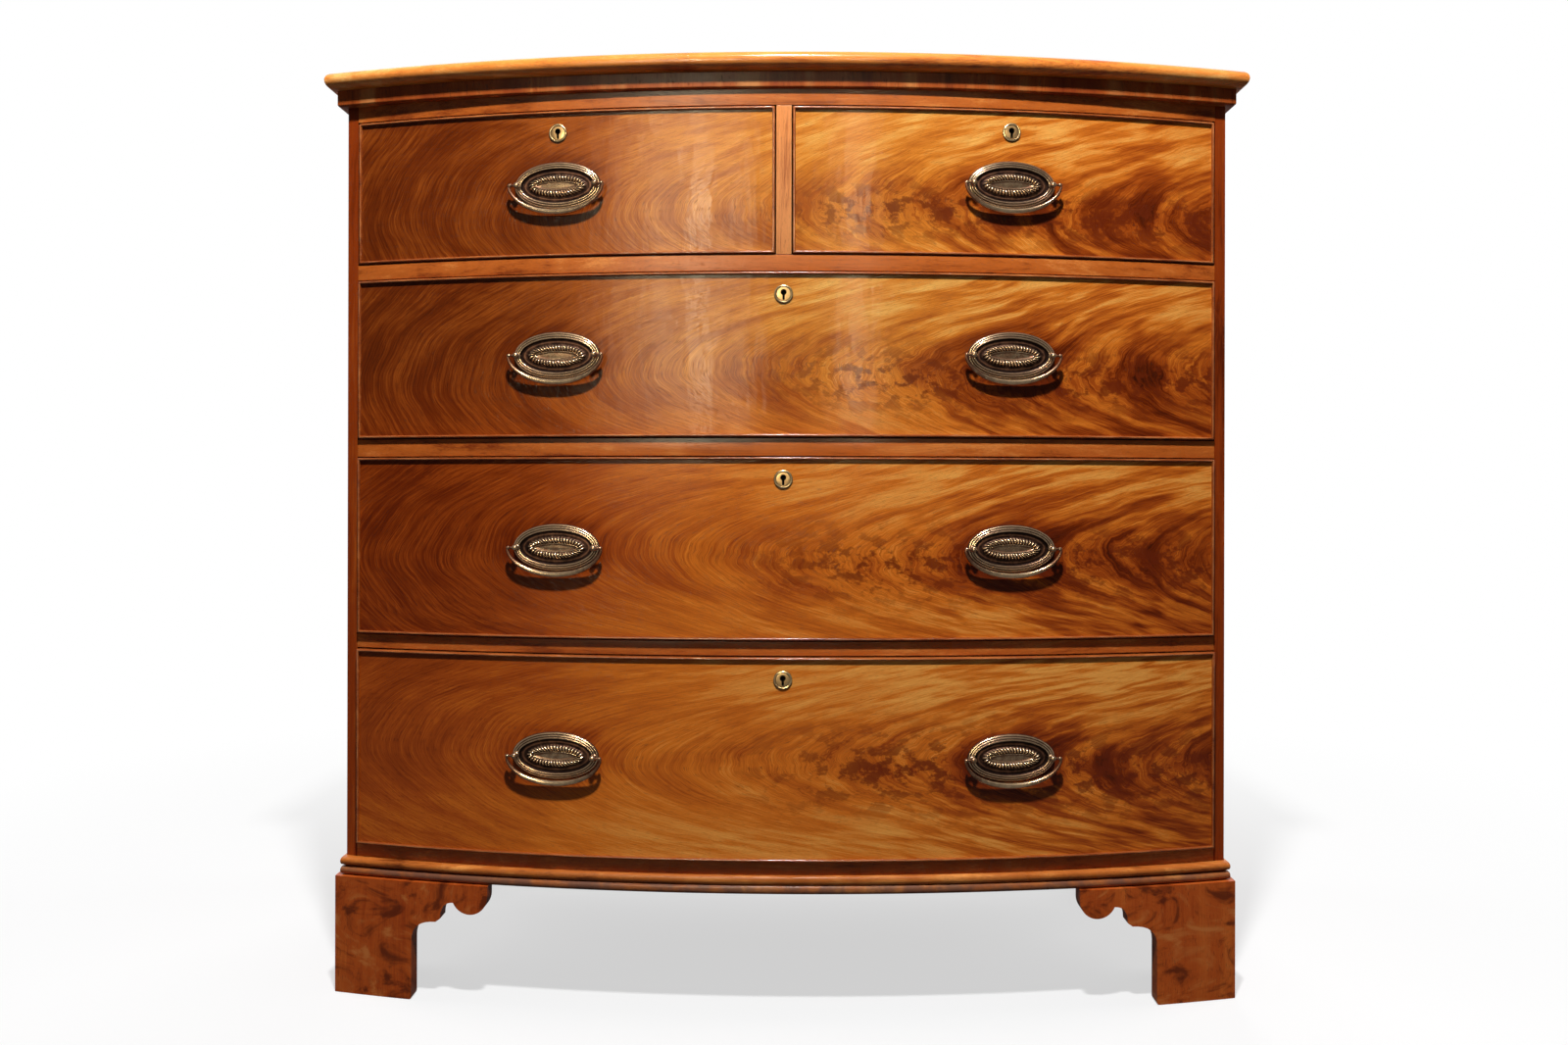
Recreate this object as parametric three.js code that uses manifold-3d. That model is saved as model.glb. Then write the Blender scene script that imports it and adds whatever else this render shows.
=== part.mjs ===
// Bow front chest of drawers: two short drawers over three long ones, on scrolled bracket feet.
// Lengths are in millimetres. X runs to the right, Y to the back and Z up, seen from the front.
// The origin is on the floor, under the middle of the chest.
import * as THREE from "three";
import { mergeVertices } from "three/addons/utils/BufferGeometryUtils.js";
import Module from "manifold-3d";

const wasm = await Module();
wasm.setup();

// Gaps between pieces
const jointGap = 0.3; // what glued and housed pieces keep between them
const drawerGap = 1.4; // round each drawer front in its opening
const runningGap = 0.4; // under a drawer's sides
const cutOverrun = 5; // how far a cutter runs past the face that it opens

// Carcase
const carcaseWidth = 1026;
const carcaseDepth = 455; // along a side, from its front corner
const bowSag = 70; // how far the middle of the front stands out past the corners
const sideThickness = 13;
const railDepth = 48; // behind the front corners
const dustboardThickness = 9;
const housingDepth = 5; // how far rails and boards are let into the sides
const housingSetback = 14; // the housings stop this far behind the front corners
const bottomBoardThickness = 22;
const backThickness = 12;
const backRebate = 7; // how far the back is let into each side
const backBoardCount = 5;
const backGrooveDepth = 3; // the V where two back boards meet
const dividerWidth = 17;
const dividerDepth = 50;
const guideHeight = 22; // the batten behind the divider that keeps the short drawers apart

// Heights, from the floor up
const footHeight = 135;
const baseMouldingHeight = 20.5;
const bottomRailShow = 15; // what shows of the bottom board above the moulding
const lowerOpening = 229.4;
const lowerRail = 16;
const middleOpening = 206.9;
const middleRail = 20;
const upperOpening = 186.3;
const upperRail = 18;
const shortOpening = 166.8;
const topRailShow = 18.1;
const friezeHeight = 18;
const topThickness = 20;

// Top, mouldings
const topSideOverhang = 22.3; // past the sides
const topFrontOverhang = 18; // past the bow, in the middle and at the corners alike
const friezeSideProud = 10;
const friezeFrontProud = 5;
const friezeCornerProud = 8;
const friezeChamfer = 1.2;
const baseSideProud = 4.5;
const baseFrontProud = 5.5;
const baseCornerProud = 10;
const baseNeck = 2.6; // what is left of it at the front, in the quirk between its two beads

// Bracket feet
const footProud = 9;
const footCornerProud = 13;
const footThickness = 22;
const footReach = 187.5; // along the floor, from the outer corner to the end of the scroll
const footLeg = 96;
const scrollRadius = 21.5;
const glueBlock = 34;
const rearBracketReach = 150;
const rearBracketThickness = 20;

// Drawers
const frontThickness = 20;
const lapThickness = 6; // what covers the dovetails at the front
const beadWidth = 3;
const beadProud = 3;
const beadDepth = 5; // how far it is let into the edge of the front
const boxThickness = 10; // drawer sides and backs
const boxDrop = 6; // sides stand this far below the top of the opening
const backDrop = 12; // and so does the back, by this much more
const bottomThickness = 7;
const bottomRaise = 7; // the bottom sits this far above the lower edges
const drawerBackClearance = 14; // from a drawer's back to the back of the chest
const tailPitch = 44; // from one dovetail to the next, about
const shortFaceProud = -1; // each face, past the rails
const upperFaceProud = 1.2;
const middleFaceProud = 2.4;
const lowerFaceProud = 4.6;

// Handles
const handleX = 256; // from the middle of the chest
const shortHandleDrop = 2.4; // below the middle of a short drawer
const postSpread = 91;
const pivotStand = 9.5; // from the drawer's face to the bail's pivot
const plateHalfWidth = 50.5;
const plateHalfHeight = 27;
const rimWidth = 8.5;
const rimHeight = 3.4;
const fieldHeight = 1.3;
const bossHalfWidth = 33.5;
const bossHalfHeight = 12;
const bossHeight = 4.4;
const bossBand = 8.5; // width of the boss's gadrooned band
const bossCentreHeight = 3;
const ballRadius = 3.6;
const postRadius = 2.2;
const nutRadius = 4.6;
const nutHeight = 3;
const pinRadius = 1.3;
const bailHalfWidth = 55;
const bailDrop = 31.5;
const bailLean = 4; // the middle of the grip lies this much nearer to the drawer than the pins
const bailRadius = 3.2; // at the middle of the grip
const bailBend = 2.2; // where each arm turns in to its pin
const bendOutShare = 1 / 3; // of the bend: how far the middle of the turn stands in from the bail's end
const bendDropShare = 1 / 4; // and how far it lies below the pin
const swellPower = 1.5; // how sharply the grip swells to its middle

// Locks
const keyholeDrop = 26; // from the top of the opening to the middle of the escutcheon
const escutcheonRadius = 10.5;
const escutcheonProud = 1.8;
const bushRadius = 8;
const keyRadius = 3.2;
const keySlotWidth = 2.6;
const keySlotDrop = 6.6;
const keyRaise = 1.8; // the round of the keyhole stands this far above its middle
const lockWidth = 52;
const lockHeight = 42;
const lockFaceWood = 9.5; // wood left in front of the lock case
const boltWidth = 16;
const boltThickness = 4.6;
const boltLength = 24;
const boltThrow = 8;
const mortiseGap = 0.9;

// How finely round things are cut
const bowChords = 14;
const footChords = 4;
const edgeSteps = 6; // round the top board's edge
const plateSides = 16;
const postSides = 6;
const bailSteps = 10;
const bailSides = 6;
const bushSides = 12;
const beadSteps = 3;
const curveCuts = 6; // along each curve of an outline
const cornerClearShare = 0.02; // of a chord: a corner nearer than this to a line's end is left out

// Sizes that follow
const halfWidth = carcaseWidth / 2;
const openingHalf = halfWidth - sideThickness;
const bowRadius = (halfWidth ** 2 + bowSag ** 2) / (2 * bowSag);
const bowCentreY = bowRadius - bowSag;
const chordAngle = (2 * Math.asin(halfWidth / bowRadius)) / bowChords;
const chordFall = bowRadius * (1 - Math.cos(chordAngle / 2));
const backY = carcaseDepth;
const insideBackY = backY - backThickness - jointGap;
const bottomTop = footHeight + baseMouldingHeight + bottomRailShow;
const lowerTop = bottomTop + lowerOpening;
const middleBottom = lowerTop + lowerRail;
const middleTop = middleBottom + middleOpening;
const upperBottom = middleTop + middleRail;
const upperTop = upperBottom + upperOpening;
const shortBottom = upperTop + upperRail;
const shortTop = shortBottom + shortOpening;
const friezeBottom = shortTop + topRailShow;
const carcaseTop = friezeBottom + friezeHeight;
const drawerHalf = openingHalf - drawerGap;
const shortInner = dividerWidth / 2 + drawerGap;

// Materials
const showWood = new THREE.MeshStandardMaterial({ color: 0x9a4a1c, roughness: 0.3 });
const flameWood = new THREE.MeshStandardMaterial({ color: 0xb4622a, roughness: 0.25 });
const beadWood = new THREE.MeshStandardMaterial({ color: 0x7a3213, roughness: 0.3 });
const plainWood = new THREE.MeshStandardMaterial({ color: 0xb98a55, roughness: 0.7 });
const handleBrass = new THREE.MeshStandardMaterial({ color: 0x8a7350, roughness: 0.35, metalness: 1 });
const lockBrass = new THREE.MeshStandardMaterial({ color: 0xb08d4c, roughness: 0.35, metalness: 1 });
const boltSteel = new THREE.MeshStandardMaterial({ color: 0x77736c, roughness: 0.4, metalness: 1 });

const chest = new THREE.Group();
chest.position.y = -(backY - bowSag - topFrontOverhang) / 2;

// Adds one named piece to the chest.
function add(name, geometry, material, parent = chest) {
  const mesh = new THREE.Mesh(geometry, material);
  mesh.name = name;
  parent.add(mesh);
  return mesh;
}

// A geometry with its positions alone, and its shared corners merged.
function bare(geometry) {
  const plain = new THREE.BufferGeometry();
  plain.setAttribute("position", geometry.getAttribute("position"));
  plain.setIndex(geometry.index);
  return mergeVertices(plain);
}

// A closed geometry as a solid that can be cut and joined.
function solid(geometry) {
  const merged = bare(geometry);
  const mesh = new wasm.Mesh({
    numProp: 3,
    vertProperties: new Float32Array(merged.attributes.position.array),
    triVerts: new Uint32Array(merged.index.array),
  });
  return new wasm.Manifold(mesh);
}

// A solid as a geometry again.
function geometryOf(made) {
  const mesh = made.getMesh();
  const geometry = new THREE.BufferGeometry();
  geometry.setAttribute("position", new THREE.BufferAttribute(mesh.vertProperties, 3));
  geometry.setIndex(new THREE.BufferAttribute(mesh.triVerts, 1));
  geometry.computeVertexNormals();
  return geometry;
}

// The first geometry joined with all the others.
function join(first, ...others) {
  return geometryOf(others.reduce((made, other) => made.add(solid(other)), solid(first)));
}

// The first geometry with all the others cut away.
function cut(first, ...others) {
  return geometryOf(others.reduce((made, other) => made.subtract(solid(other)), solid(first)));
}

// What two geometries share.
function common(first, second) {
  return geometryOf(solid(first).intersect(solid(second)));
}

// A box between two corners.
function box(x0, x1, y0, y1, z0, z1) {
  const geometry = new THREE.BoxGeometry(x1 - x0, y1 - y0, z1 - z0);
  return geometry.translate((x0 + x1) / 2, (y0 + y1) / 2, (z0 + z1) / 2);
}

// A flat outline, in X and Y, raised from z0 to z1.
function raised(outline, z0, z1) {
  const ready = outline instanceof THREE.Shape;
  const shape = ready ? outline : new THREE.Shape(outline.map((p) => new THREE.Vector2(...p)));
  const options = { depth: z1 - z0, bevelEnabled: false, curveSegments: curveCuts };
  return new THREE.ExtrudeGeometry(shape, options).translate(0, 0, z0);
}

// A round cutter along Y, which runs as far in front of its middle as behind it.
function borer(radius, reach, sides) {
  return new THREE.CylinderGeometry(radius, radius, 2 * reach, sides);
}

// An outline in X and Z, carried along Y from y0 to y1.
function carriedAlongY(outline, y0, y1) {
  const turn = new THREE.Matrix4().makeBasis(
    new THREE.Vector3(1, 0, 0),
    new THREE.Vector3(0, 0, 1),
    new THREE.Vector3(0, -1, 0),
  );
  return raised(outline, -y1, -y0).applyMatrix4(turn);
}

// An outline in Y and Z, carried along X from x0 to x1.
function carriedAlongX(outline, x0, x1) {
  const turn = new THREE.Matrix4().makeBasis(
    new THREE.Vector3(0, 1, 0),
    new THREE.Vector3(0, 0, 1),
    new THREE.Vector3(1, 0, 0),
  );
  return raised(outline, x0, x1).applyMatrix4(turn);
}

// Turns every triangle of a geometry over.
function turnOver(geometry) {
  const index = geometry.index.array;
  for (let i = 0; i < index.length; i += 3) {
    [index[i + 1], index[i + 2]] = [index[i + 2], index[i + 1]];
  }
  return geometry;
}

// The other hand of a geometry, with its faces turned out again.
function mirrored(geometry) {
  return turnOver(geometry.clone().applyMatrix4(new THREE.Matrix4().makeScale(-1, 1, 1)));
}

// A skin over equal rings of points. A closed one runs round to its first ring, and an open one
// has flat ends.
function skin(rings, closed = false) {
  const count = rings[0].length;
  const index = [];
  const last = closed ? rings.length : rings.length - 1;
  for (let i = 0; i < last; i++) {
    const next = (i + 1) % rings.length;
    for (let j = 0; j < count; j++) {
      const k = (j + 1) % count;
      index.push(i * count + j, i * count + k, next * count + k);
      index.push(i * count + j, next * count + k, next * count + j);
    }
  }
  if (!closed) {
    for (const corner of [0, (rings.length - 1) * count]) {
      const ring = rings[corner / count];
      const [u, v] = wideAxes(ring);
      const faces = THREE.ShapeUtils.triangulateShape(ring.map((p) => new THREE.Vector2(p[u], p[v])), []);
      const turned = signedArea(ring, u, v) > 0;
      for (const [a, b, c] of faces) {
        const sameWay = turned === (corner > 0);
        index.push(corner + a, corner + (sameWay ? b : c), corner + (sameWay ? c : b));
      }
    }
  }
  const geometry = new THREE.BufferGeometry();
  geometry.setAttribute("position", new THREE.Float32BufferAttribute(rings.flat(2), 3));
  geometry.setIndex(index);
  return facingOut(geometry);
}

// The two axes that are left of X, Y and Z without the one along which a ring is thinnest.
function wideAxes(ring) {
  const spans = [...ring[0].keys()].map((axis) => {
    const places = ring.map((p) => p[axis]);
    return Math.max(...places) - Math.min(...places);
  });
  const thinnest = spans.indexOf(Math.min(...spans));
  return [...spans.keys()].filter((axis) => axis !== thinnest);
}

// Twice the area inside a ring, seen along one axis, with the sign of its direction.
function signedArea(ring, u, v) {
  return ring.reduce((sum, p, i) => {
    const q = ring[(i + 1) % ring.length];
    return sum + p[u] * q[v] - q[u] * p[v];
  }, 0);
}

// The same geometry, turned so that its faces point out.
function facingOut(geometry) {
  const p = geometry.attributes.position;
  const index = geometry.index.array;
  const [a, b, c] = [new THREE.Vector3(), new THREE.Vector3(), new THREE.Vector3()];
  let volume = 0;
  for (let i = 0; i < index.length; i += 3) {
    a.fromBufferAttribute(p, index[i]);
    b.fromBufferAttribute(p, index[i + 1]);
    c.fromBufferAttribute(p, index[i + 2]);
    volume += a.dot(b.cross(c));
  }
  return volume < 0 ? turnOver(geometry) : geometry;
}

// The front's bow at x, moved out by proud. It is a circle cut into chords at set angles, so that
// pieces at different distances from its centre stay parallel.
function bowY(x, proud) {
  const radius = bowRadius + proud;
  const first = Math.floor(Math.asin(x / radius) / chordAngle);
  const [x0, x1] = [first, first + 1].map((k) => radius * Math.sin(k * chordAngle));
  const [y0, y1] = [first, first + 1].map((k) => bowCentreY - radius * Math.cos(k * chordAngle));
  return y0 + ((y1 - y0) * (x - x0)) / (x1 - x0);
}

// Points along the bow from x0 to x1, with the chords' corners between them.
function bowLine(x0, x1, proud) {
  const radius = bowRadius + proud;
  const points = [[x0, bowY(x0, proud)]];
  for (let k = -bowChords; k <= bowChords; k++) {
    const x = radius * Math.sin(k * chordAngle);
    const clear = radius * Math.sin(chordAngle) * cornerClearShare;
    if (x > x0 + clear && x < x1 - clear) points.push([x, bowY(x, proud)]);
  }
  points.push([x1, bowY(x1, proud)]);
  return points;
}

// A board with a bowed front edge and a straight back one.
function bowBoard(x0, x1, proud, back, z0, z1) {
  return raised([...bowLine(x0, x1, proud), [x1, back], [x0, back]], z0, z1);
}

// A board bowed on both faces.
function bowPanel(x0, x1, outer, inner, z0, z1) {
  return raised([...bowLine(x0, x1, outer), ...bowLine(x0, x1, inner).reverse()], z0, z1);
}

// How far the bow falls back from its tangent, at a distance from the touching point.
function bowFall(distance) {
  return bowRadius - Math.sqrt(bowRadius ** 2 - distance ** 2) + chordFall;
}

// A frame standing on the bow at x, with -Y pointing straight out of the front.
function bowFrame(x, proud, z) {
  const frame = new THREE.Group();
  const radius = bowRadius + proud;
  frame.rotation.z = Math.asin(x / radius);
  frame.position.set(x, bowCentreY - Math.sqrt(radius ** 2 - x ** 2), z);
  frame.updateMatrix();
  return frame;
}

// The front of a piece that stands out past the bow, by one amount in the middle and another at
// its corners, which lie at reach: a circle of its own.
function outerBowY(x, frontProud, cornerProud, reach) {
  const sag = bowSag + frontProud - cornerProud;
  const radius = (reach ** 2 + sag ** 2) / (2 * sag);
  return radius - sag - cornerProud - Math.sqrt(radius ** 2 - x ** 2);
}

// Where the corners between the bow's chords fall, as shares of its half width.
const bowShares = Array.from({ length: bowChords + 1 }, (_, k) => {
  const angle = (k - bowChords / 2) * chordAngle;
  return (bowRadius * Math.sin(angle)) / halfWidth;
});

// A section carried round the left side, the bow and the right side, such as a moulding's.
// Its points say how far they stand out at the sides, in the middle and at the corners, and how high.
function carriedRoundFront(section) {
  const side = (hand) => section.map(([sideProud, , , z]) => [hand * (halfWidth + sideProud), backY, z]);
  const front = bowShares.map((share) =>
    section.map(([sideProud, frontProud, cornerProud, z]) => {
      const reach = halfWidth + sideProud;
      return [share * reach, outerBowY(share * reach, frontProud, cornerProud, reach), z];
    }),
  );
  return skin([side(-1), ...front, side(1)]);
}

// Top board: a flat board with a rounded edge at the front and both ends.
function topBoard() {
  const z0 = carcaseTop + jointGap;
  const z1 = carcaseTop + topThickness;
  const edge = (z1 - z0) / 2;
  const rings = Array.from({ length: edgeSteps + 1 }, (_, i) => {
    const angle = -Math.PI / 2 + (Math.PI * i) / edgeSteps;
    const inset = edge * (1 - Math.cos(angle));
    const z = z0 + edge * (1 + Math.sin(angle));
    const reach = halfWidth + topSideOverhang - inset;
    const overhang = topFrontOverhang - inset;
    const front = bowShares.map((share) => {
      const x = share * reach;
      return [x, outerBowY(x, overhang, overhang, reach), z];
    });
    return [...front, [reach, backY, z], [-reach, backY, z]];
  });
  return skin(rings);
}
add("top_board", topBoard(), showWood);

// Frieze moulding: a plain band glued round the carcase under the top.
const friezeFace = [friezeSideProud, friezeFrontProud, friezeCornerProud];
const friezeSection = [
  [jointGap, jointGap, jointGap, friezeBottom],
  [...friezeFace.map((proud) => proud - friezeChamfer), friezeBottom],
  [...friezeFace, friezeBottom + friezeChamfer],
  [...friezeFace, carcaseTop],
  [jointGap, jointGap, jointGap, carcaseTop],
];
add("frieze_moulding", carriedRoundFront(friezeSection), showWood);

// Base moulding: two beads with a quirk between them, round the foot of the carcase.
function beadPoints(bottom, top) {
  const middle = (bottom + top) / 2;
  const half = (top - bottom) / 2;
  return Array.from({ length: beadSteps + 1 }, (_, i) => {
    const angle = -Math.PI / 2 + (Math.PI * i) / beadSteps;
    const share = (baseNeck + (baseFrontProud - baseNeck) * Math.cos(angle)) / baseFrontProud;
    const z = middle + half * Math.sin(angle);
    return [baseSideProud * share, baseFrontProud * share, baseCornerProud * share, z];
  });
}
const baseBottom = footHeight + jointGap;
const baseTop = footHeight + baseMouldingHeight;
const baseMiddle = (baseBottom + baseTop) / 2;
const baseSection = [
  [jointGap, jointGap, jointGap, baseBottom],
  ...beadPoints(baseBottom, baseMiddle),
  ...beadPoints(baseMiddle, baseTop).slice(1),
  [jointGap, jointGap, jointGap, baseTop],
];
add("base_moulding", carriedRoundFront(baseSection), showWood);

// Sides: solid boards, bevelled to the bow at the front, rebated for the back and housed for the boards.
const boardTops = [bottomTop, middleBottom, upperBottom, shortBottom];
function sidePanel() {
  const outline = [
    [openingHalf, bowY(openingHalf, 0)],
    [halfWidth, bowY(halfWidth, 0)],
    [halfWidth, backY],
    [openingHalf + backRebate, backY],
    [openingHalf + backRebate, insideBackY],
    [openingHalf, insideBackY],
  ];
  const housings = boardTops.map((top) => {
    const thickness = top === bottomTop ? bottomBoardThickness : dustboardThickness;
    return box(
      openingHalf - cutOverrun,
      openingHalf + housingDepth,
      housingSetback - jointGap,
      backY - backThickness + cutOverrun,
      top - thickness - jointGap,
      top + jointGap,
    );
  });
  return cut(raised(outline, footHeight + jointGap, carcaseTop), ...housings);
}
const rightSide = sidePanel();
add("side_right", rightSide, showWood);
add("side_left", mirrored(rightSide), showWood);

// The hole that a lock's bolt is thrown up into, under a rail.
function boltMortise(drawer) {
  const depth = (lockFaceWood + frontThickness) / 2;
  const reach = boltThickness / 2 + mortiseGap;
  const hole = box(
    -boltWidth / 2 - mortiseGap,
    boltWidth / 2 + mortiseGap,
    depth - reach,
    depth + reach,
    -cutOverrun,
    boltThrow + mortiseGap,
  );
  return hole.applyMatrix4(bowFrame(drawer.lockX, drawer.proud, drawer.openingTop).matrix);
}

// Drawers: where each opens, and how its face stands to the rails.
const shortHandleZ = (shortBottom + shortTop) / 2 - shortHandleDrop;
const drawers = [
  {
    name: "drawer_short_left",
    x0: -drawerHalf,
    x1: -shortInner,
    openingBottom: shortBottom,
    openingTop: shortTop,
    proud: shortFaceProud,
    lockX: -handleX,
    handles: [["", -handleX]],
    handleZ: shortHandleZ,
  },
  {
    name: "drawer_short_right",
    x0: shortInner,
    x1: drawerHalf,
    openingBottom: shortBottom,
    openingTop: shortTop,
    proud: shortFaceProud,
    lockX: handleX,
    handles: [["", handleX]],
    handleZ: shortHandleZ,
  },
  ...[
    ["drawer_long_upper", upperBottom, upperTop, upperFaceProud],
    ["drawer_long_middle", middleBottom, middleTop, middleFaceProud],
    ["drawer_long_lower", bottomTop, lowerTop, lowerFaceProud],
  ].map(([name, openingBottom, openingTop, proud]) => ({
    name,
    x0: -drawerHalf,
    x1: drawerHalf,
    openingBottom,
    openingTop,
    proud,
    lockX: 0,
    handles: [
      ["_left", -handleX],
      ["_right", handleX],
    ],
    handleZ: (openingBottom + openingTop) / 2,
  })),
];
const drawersUnder = (railBottom) => drawers.filter((drawer) => drawer.openingTop === railBottom);

// Rails: bowed boards across the front, each with a tongue that is let into the sides.
const railEnd = openingHalf - jointGap;
const tongueEnd = openingHalf + housingDepth - jointGap;
function rail(bottom, top) {
  const board = bowBoard(-railEnd, railEnd, 0, railDepth, bottom, top);
  const mortises = drawersUnder(bottom).map(boltMortise);
  if (top === carcaseTop) return cut(board, ...mortises);
  const tongue = box(-tongueEnd, tongueEnd, housingSetback, railDepth, top - dustboardThickness, top);
  return cut(join(board, tongue), ...mortises);
}
add("rail_top", rail(shortTop, carcaseTop), showWood);
add("rail_upper", rail(upperTop, shortBottom), showWood);
add("rail_middle", rail(middleTop, upperBottom), showWood);
add("rail_lower", rail(lowerTop, middleBottom), showWood);

// Dustboards: thin boards behind the rails, which the drawers run on.
for (const [name, top] of [
  ["dustboard_upper", shortBottom],
  ["dustboard_middle", upperBottom],
  ["dustboard_lower", middleBottom],
]) {
  const board = box(
    -tongueEnd,
    tongueEnd,
    railDepth + jointGap,
    insideBackY - jointGap,
    top - dustboardThickness,
    top,
  );
  add(name, board, plainWood);
}

// Bottom board: its bowed front edge is the bottom rail.
const bottomBoard = join(
  bowBoard(-railEnd, railEnd, 0, insideBackY - jointGap, bottomTop - bottomBoardThickness, bottomTop),
  box(
    -tongueEnd,
    tongueEnd,
    housingSetback,
    insideBackY - jointGap,
    bottomTop - bottomBoardThickness,
    bottomTop,
  ),
);
add("bottom_board", bottomBoard, showWood);

// Divider between the short drawers, with the guide batten that runs back from it.
const dividerBack = bowY(0, 0) + dividerDepth;
const dividerFoot = shortBottom + jointGap;
const divider = join(
  bowBoard(-dividerWidth / 2, dividerWidth / 2, 0, dividerBack, dividerFoot, shortTop - jointGap),
  box(
    -dividerWidth / 2,
    dividerWidth / 2,
    dividerBack - cutOverrun,
    insideBackY - jointGap,
    dividerFoot,
    shortBottom + guideHeight,
  ),
);
add("centre_divider", divider, showWood);

// Back: upright boards edge to edge, with a V along each joint.
function backPanel() {
  const half = openingHalf + backRebate - jointGap;
  const board = (2 * half) / backBoardCount;
  const outline = [
    [-half, insideBackY + jointGap],
    [half, insideBackY + jointGap],
    [half, backY],
  ];
  for (let i = backBoardCount - 1; i > 0; i--) {
    const x = -half + i * board;
    outline.push([x + backGrooveDepth, backY], [x, backY - backGrooveDepth], [x - backGrooveDepth, backY]);
  }
  outline.push([-half, backY]);
  return raised(outline, footHeight + jointGap, carcaseTop);
}
add("back_panel", backPanel(), plainWood);

// The scrolled outline of a bracket foot, from its outer corner inwards.
// The shares are of the length between leg and scroll, and of the foot's height.
const noseShare = [0.42, 0.675];
const cuspStartShare = [0.5, 0.705];
const scrollCentreDropShare = 0.086;
const legTopShare = 0.5;
const scrollStartDegrees = 205; // round from level, where the scroll leaves its cusp
const scrollStart = THREE.MathUtils.degToRad(scrollStartDegrees);
function bracketOutline(height) {
  const centre = [footReach - scrollRadius, height * (1 - scrollCentreDropShare)];
  const cusp = [
    centre[0] + scrollRadius * Math.cos(scrollStart),
    centre[1] + scrollRadius * Math.sin(scrollStart),
  ];
  const run = footReach - scrollRadius - footLeg;
  const nose = [footLeg + run * noseShare[0], height * noseShare[1]];
  const hollow = [footLeg + run * cuspStartShare[0], height * cuspStartShare[1]];
  const shape = new THREE.Shape();
  shape.moveTo(0, 0);
  shape.lineTo(footLeg, 0);
  shape.lineTo(footLeg, height * legTopShare);
  shape.quadraticCurveTo(footLeg, nose[1], ...nose);
  shape.lineTo(...hollow);
  shape.quadraticCurveTo(hollow[0], cusp[1], ...cusp);
  shape.absarc(...centre, scrollRadius, scrollStart, 2 * Math.PI, false);
  shape.lineTo(footReach, height);
  shape.lineTo(0, height);
  return shape;
}

// Moves an outline made from the corner inwards to its place, and turns it round where it runs back.
function placed(shape, start, direction) {
  const points = shape.getPoints(curveCuts).map((p) => [start + direction * p.x, p.y]);
  return direction > 0 ? points : points.reverse();
}

// Glue block in the corner behind a foot's two brackets. Its upper end stands inside the carcase,
// under the bottom board.
const footOuter = halfWidth + footProud;
const blockTop = bottomTop - bottomBoardThickness - jointGap;
function cornerBlock(front, back) {
  const bracket = footOuter - footThickness;
  const upperFront = Math.max(front, bowY(openingHalf, 0) + jointGap);
  return join(
    box(bracket - glueBlock, bracket + cutOverrun, front, back, 0, footHeight),
    box(bracket - glueBlock, openingHalf - jointGap, upperFront, back, footHeight - cutOverrun, blockTop),
  );
}

// Front foot: two mitred brackets, the front one bowed, with a glue block in the corner behind them.
function frontFoot() {
  const outline = bracketOutline(footHeight);
  const faceY = (x) => outerBowY(x, footProud, footCornerProud, footOuter);
  const face = Array.from({ length: footChords + 1 }, (_, i) => {
    const x = footOuter - footReach * (1 - i / footChords);
    return [x, faceY(x)];
  });
  const rear = face.map(([x, y]) => [x, y + footThickness]).reverse();
  const scrolled = carriedAlongY(placed(outline, footOuter, -1), -bowSag - footProud, footThickness);
  const front = common(raised([...face, ...rear], 0, footHeight), scrolled);
  const side = carriedAlongX(placed(outline, faceY(footOuter), 1), footOuter - footThickness, footOuter);
  const blockFront = faceY(footOuter - footThickness - glueBlock) + footThickness - cutOverrun;
  return join(front, side, cornerBlock(blockFront, blockFront + glueBlock));
}
const frontRightFoot = frontFoot();
add("foot_front_right", frontRightFoot, showWood);
add("foot_front_left", mirrored(frontRightFoot), showWood);

// Rear foot: a scrolled side bracket, with a plain sloping one across the back.
function rearFoot() {
  const scrolled = placed(bracketOutline(footHeight), backY, -1);
  const side = carriedAlongX(scrolled, footOuter - footThickness, footOuter);
  const slope = new THREE.Shape();
  slope.moveTo(0, 0);
  slope.lineTo(footLeg, 0);
  slope.lineTo(footLeg, footHeight * legTopShare);
  slope.lineTo(rearBracketReach, footHeight);
  slope.lineTo(0, footHeight);
  const back = carriedAlongY(placed(slope, footOuter, -1), backY - rearBracketThickness, backY);
  const blockBack = insideBackY - jointGap;
  return join(side, back, cornerBlock(blockBack - glueBlock, blockBack));
}
const rearRightFoot = rearFoot();
add("foot_rear_right", rearRightFoot, showWood);
add("foot_rear_left", mirrored(rearRightFoot), showWood);

// The outline of a drawer's side, seen from the end, with its dovetails at the front.
// A slack outline cuts the sockets for it.
const tailRootShare = 0.26;
const tailTipShare = 0.36;
const fewestTails = 2;
function sideOutline(drawer, back, root, tip, slack) {
  const bottom = drawer.openingBottom + runningGap;
  const top = drawer.openingTop - boxDrop;
  const tails = Math.max(fewestTails, Math.round((top - bottom) / tailPitch));
  const pitch = (top - bottom) / tails;
  const outline = [
    [back, top + (slack && cutOverrun)],
    [back, bottom - (slack && cutOverrun)],
    [root - slack, bottom - (slack && cutOverrun)],
  ];
  for (let i = 0; i < tails; i++) {
    const middle = bottom + pitch / 2 + i * pitch;
    const rootHalf = pitch * tailRootShare + slack;
    const tipHalf = pitch * tailTipShare + slack;
    outline.push([root - slack, middle - rootHalf], [tip - slack, middle - tipHalf]);
    outline.push([tip - slack, middle + tipHalf], [root - slack, middle + rootHalf]);
  }
  outline.push([root - slack, top + (slack && cutOverrun)]);
  return outline;
}

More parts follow.
